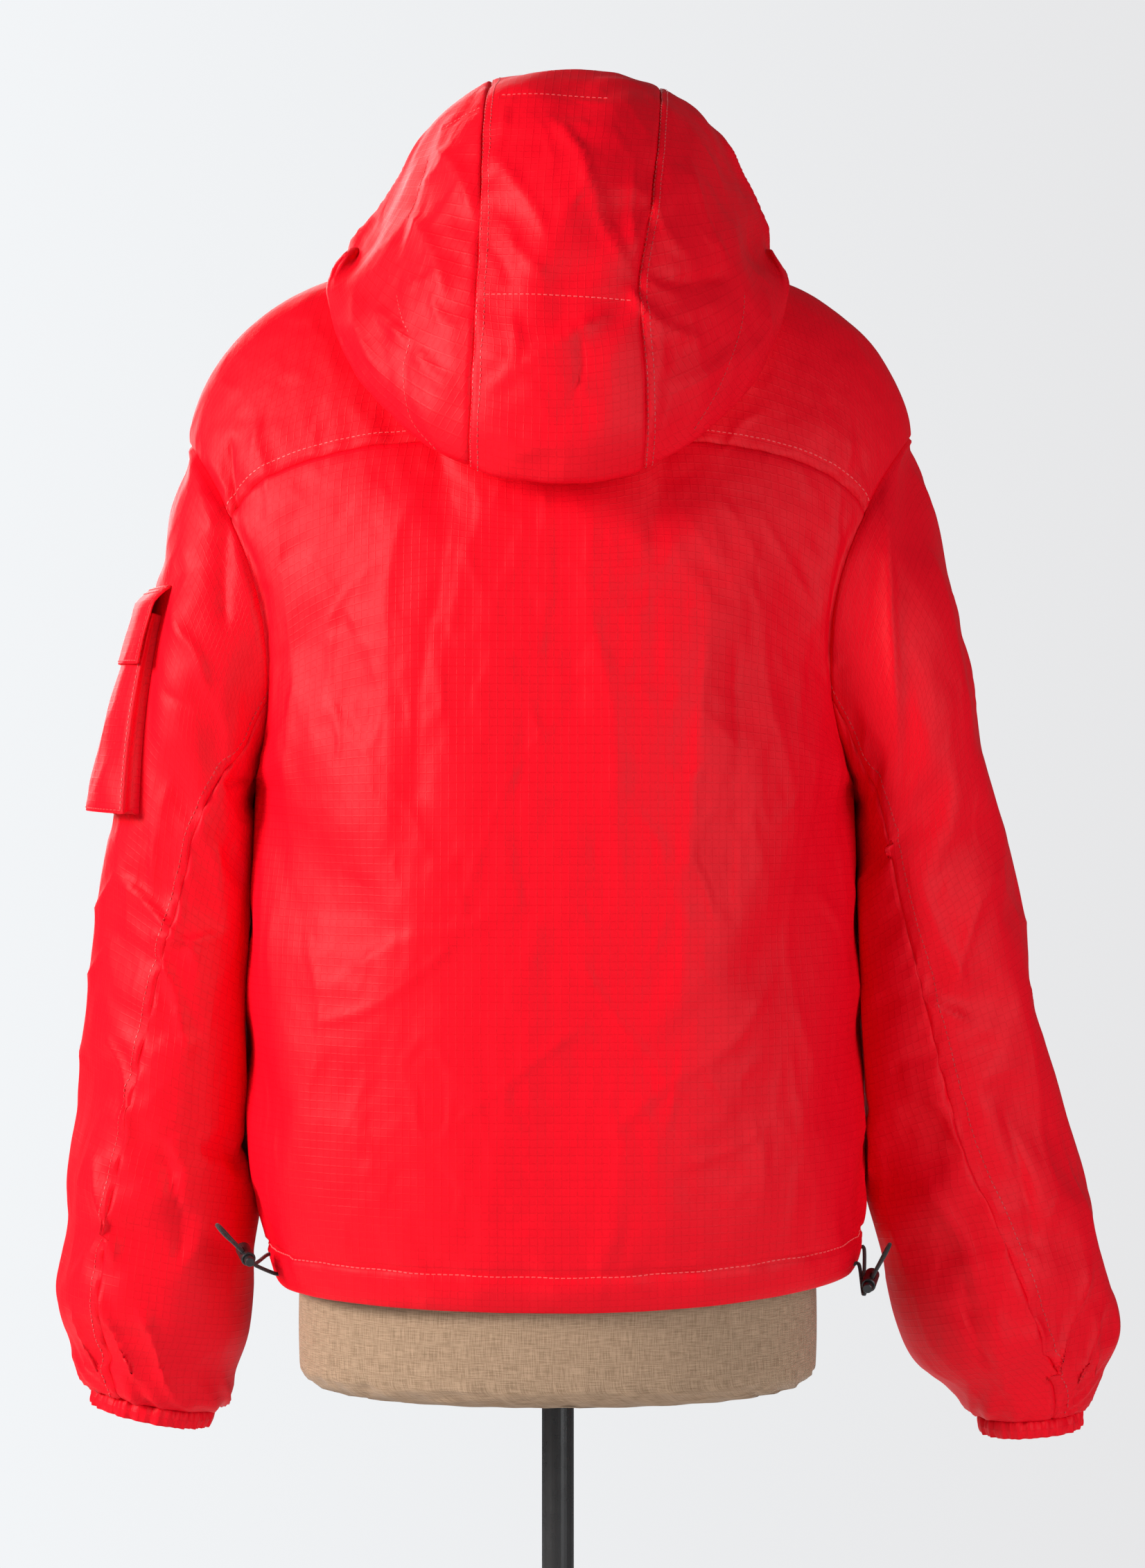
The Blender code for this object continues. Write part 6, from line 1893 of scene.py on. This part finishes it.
def finishEdges(panel):
    # The hem's casing, the gathers above a cuff and the rows sewn across the hood.
    seed = sum(map(ord, panel.name))
    if panel.name in ("back_panel", "front_left", "front_right"):
        look, above = hemLook, panel.fromEdge("low")
        heights = look["swell"] * np.sin(np.clip(above / look["depth"], 0, 1) * np.pi) ** 0.7
        heights = heights + grooveAt(above, look["depth"], look["grooveWidth"], look["groove"])
        for share, pitch, reach, more in ((1.0, 0.019, 0.012, 0), (0.5, 0.008, 0.006, 3)):
            pucker = look["pucker"] * share
            heights += stitchPuckers(panel, "low", look["depth"], pucker, pitch, reach, seed + more)
        panel.push(heights)
    if "sleeve" in panel.name:
        look, low = gatherLook, panel.sideBy(("low", "high"), 2, min)
        away, along = panel.fromEdge(low), panel.lengthOf(low)
        ends = np.minimum(panel.fromEdge("first"), panel.fromEdge("last"))
        drawn = -look["draw"] * ease(away / look["drawFrom"])
        drawn = drawn * np.exp(-(((away - look["drawAt"]) / look["drawWidth"]) ** 2))
        uneven = 0.75 + 0.45 * ripple(along, look["uneven"], seed + 2)
        gathers = look["height"] * np.exp(-away / (look["reach"] * uneven)) * ease(away / 0.005 + 0.15)
        folds = ripple(along + 0.12 * away, look["pitch"], seed)
        folds = 1 - 2 * (np.abs(1 - folds) / 2) ** 0.7
        panel.push(drawn + gathers * folds * (0.25 + 0.75 * ease(ends / 0.010)))
    for line in hoodLines.get(panel.name, []):
        gap, _, share = alongLine(panel.points[..., (0, 2)], smoothLine(line))
        shown = ease(panel.normals[..., 1] / 0.3) * ease(np.minimum(share, 1 - share) * 25)
        panel.push(grooveAt(gap, 0.0, hoodRow["width"], hoodRow["depth"]) * shown)


neckDrawn = 0.006   # how far up the hood this reaches


def closeNeck(panels):
    # Draws the hood's lower edge onto the neckline that it is sewn to.
    line = []
    for name in ("front_left", "back_yoke", "front_right"):
        edge = panels[name].edgeOf(panels[name].points, "high")
        line.append(readLine(np.linspace(0, len(edge) - 1, 1500), np.arange(len(edge)), edge))
    line = np.concatenate(line)
    for name in ("hood_left", "hood_centre", "hood_right"):
        panel = panels[name]
        low = panel.edgeOf(panel.points, "low")
        nearest = [line[np.argmin(((line - spot) ** 2).sum(axis=1))] for spot in low]
        fade = np.exp(-((panel.fromEdge("low") / neckDrawn) ** 2))
        panel.points = panel.points + (np.array(nearest) - low)[None] * fade[..., None]


def makeStitches(panels, pocketTracks):
    thread = threadLook("thread", threadColours["bright"])
    tonal = threadLook("tonal_thread", threadColours["tonal"])
    sides = ("first", "last")
    rows = {"pocket": pocketTracks}
    rows["yoke"] = [panels["back_yoke"].line("low", rowGaps["back_yoke"])]
    for name in ("back_panel", "front_left", "front_right"):
        rows[name] = [panels[name].line("low", hemLook["depth"], 0.004, 0.996)]
    rows["hood_seams"] = []
    for name in ("hood_centre", "hood_right"):
        seam = panels[name].sideBy(sides, 0)
        rows["hood_seams"] += [panels[name].line(seam, gap) for gap in rowGaps[name]]
    for name in ("hood_left", "hood_right"):
        rows["hood_seams"].append(backLine(panels[name], hoodLines[name][-1]))
    rows["hood"] = [backLine(panels["hood_centre"], line) for line in hoodLines["hood_centre"]]
    rows["hood"].append(backLine(panels["hood_left"], hoodLines["hood_left"][0]))
    for name in ("left_top_sleeve", "right_top_sleeve"):
        rows[name] = [panels[name].line(panels[name].sideBy(sides, 1), rowGaps[name])]
    for name, tracks in rows.items():
        colour = thread if name in brightRows else tonal
        made = stitches("stitches_" + name, tracks, colour, threadSizes)
        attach(made, mainBody)


studio = dict(
    eye=(-0.0096, 2.6, 1.1045), lens=90.9,
    air=0.12, airColour=(0.93, 0.95, 1.0, 1),   # light from all round
    # painted light and shade on the wall the camera sees: lighter on the left, where the key light falls,
    # darker on the right
    litWallLeft=(0.90, 0.92, 0.94, 1), shadedWallRight=(0.79, 0.79, 0.80, 1), wallFade=0.16,
    floor=(0.80, 0.80, 0.81), floorRadius=2.8, floorDrop=0.0005,
)
lights = {   # place, what it points at, size, power, colour
    "key": ((2.70, 1.30, 2.10), (0, 0, 1.15), 1.3, 134.0, (1.0, 0.985, 0.96)),
    "fill": ((-2.1, 2.5, 1.4), (0, 0, 1.1), 2.2, 57.0, (0.94, 0.97, 1.0)),
    "front": ((0.9, -2.6, 2.0), (0, 0, 1.1), 2.0, 50.0, (1.0, 0.99, 0.97)),
}


def makeCamera():
    data = bpy.data.cameras.new("camera")
    data.lens, data.sensor_width = studio["lens"], 36.0
    camera = placed("camera", data)
    camera.location = studio["eye"]
    camera.rotation_euler = (math.radians(90), 0, math.radians(180))
    bpy.context.scene.camera = camera


def makeLight(name, at, target, size, power, colour):
    data = bpy.data.lights.new(name, "AREA")
    data.shape, data.size = "DISK", size
    data.energy, data.color = power, colour
    lamp = placed(name, data)
    lamp.location = at
    lamp.rotation_euler = (Vector(target) - Vector(at)).to_track_quat("-Z", "Y").to_euler()


def makeBackdrop():
    # The camera sees a wall that fades from one side to the other in painted light and shade: lighter on the
    # left, where the key light falls, darker on the right; the object gets even light.
    world = bpy.data.worlds.new("studio")
    bpy.context.scene.world = world
    world.use_nodes = True
    tree = world.node_tree
    back = tree.nodes["Background"]
    back.inputs["Color"].default_value = studio["airColour"]
    back.inputs["Strength"].default_value = studio["air"]
    sky = tree.nodes.new("ShaderNodeBackground")
    where = tree.nodes.new("ShaderNodeTexCoord")
    parts = tree.nodes.new("ShaderNodeSeparateXYZ")
    ramp = tree.nodes.new("ShaderNodeMapRange")
    colour = tree.nodes.new("ShaderNodeMix")
    colour.data_type = "RGBA"
    path = tree.nodes.new("ShaderNodeLightPath")
    mix = tree.nodes.new("ShaderNodeMixShader")
    ramp.inputs[1].default_value, ramp.inputs[2].default_value = -studio["wallFade"], studio["wallFade"]
    # painted shade for the wall's right side, painted light for its left side
    colour.inputs[6].default_value = studio["shadedWallRight"]
    colour.inputs[7].default_value = studio["litWallLeft"]
    for start, end in (
        (where.outputs["Generated"], parts.inputs[0]), (parts.outputs["X"], ramp.inputs[0]),
        (ramp.outputs[0], colour.inputs[0]), (colour.outputs[2], sky.inputs["Color"]),
        (path.outputs["Is Camera Ray"], mix.inputs[0]), (back.outputs[0], mix.inputs[1]),
        (sky.outputs[0], mix.inputs[2]), (mix.outputs[0], tree.nodes["World Output"].inputs["Surface"]),
    ):
        tree.links.new(start, end)


def makeFloor():
    paint = Paint("floor", studio["floor"], 0.85)
    speckle = paint.noise(paint.place(), 3.0, 3.0)
    paint.feed(Roughness=0.8 + speckle * 0.1)
    floor = addMesh("floor", [], [], paint.material)
    shape = bmesh.new()
    bmesh.ops.create_circle(shape, cap_ends=True, segments=96, radius=studio["floorRadius"])
    shape.to_mesh(floor.data)
    shape.free()
    floor.location.z = -studio["floorDrop"]


makeCamera()
for name, settings in lights.items():
    makeLight(name, *settings)
makeBackdrop()
makeFloor()
bpy.context.scene.view_settings.view_transform = "Standard"
print("camera and studio ready")

makeCords(braidedCord())
nylon, elastic = ripstopNylon(), ripstopNylon("red_elastic", True)

started = {**makeBody(), **makeSleeves(), **makeHood()}
print("surfaces laid out:", {name: value[0].shape[:2] for name, value in started.items()})
panels, moves = {}, {}
look = clothLook
for name, (grid, rowsAt, columnsAt, away) in started.items():
    rows = spacing(rowsAt[-1], look["fineStep"], look["edge"], look["edge"])
    columns = spacing(columnsAt[-1], look["fineStep"], look["edge"], look["edge"])
    moves[name] = refine(simulated(name, grid, away), rowsAt, rows, columnsAt, columns)
    panels[name] = Panel(name, refine(grid, rowsAt, rows, columnsAt, columns), np.array(away))
print("panels simulated")
sewTogether(panels, seamEdges)
for name, panel in panels.items():
    settle(panel, moves[name])
sewTogether(panels, seamEdges)
for name, panel in panels.items():
    seed = sum(map(ord, name))
    for edge in seamEdges[name]:
        neck = edge == "low" and "hood" in name or edge == "high" and "front" in name
        depth = look["seamDepth"] * (look["neckShare"] if neck else 1.0)
        puckers = stitchPuckers(
            panel, edge, 0.0, look["pucker"], look["puckerPitch"], look["puckerReach"], seed
        )
        panel.push(grooveAt(panel.fromEdge(edge), 0.0, look["seamWidth"], depth) + puckers)
    finishEdges(panel)
closeNeck(panels)
print("panels shaped")
for name, panel in panels.items():
    made = shell(panel, look["thick"], nylon)
    made.name = name + "_cloth"
    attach(made, mainBody)
    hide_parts(name)
    area = sum(polygon.area for polygon in made.data.polygons) / 2
    wide = round(float(np.max(panel.across[:, -1])), 3)
    tall = round(float(np.max(panel.down[-1])), 3)
    area = round(min(area, 0.999 * wide * tall), 4)
    print(name, "area", area, "flat", wide, tall)
tracks = makePocket(nylon)
makeStitches(panels, tracks)
makeCuffs(elastic)
makeForm(linenCloth())
makeZip(zipTape())
coatParts()
print("small pieces ready")
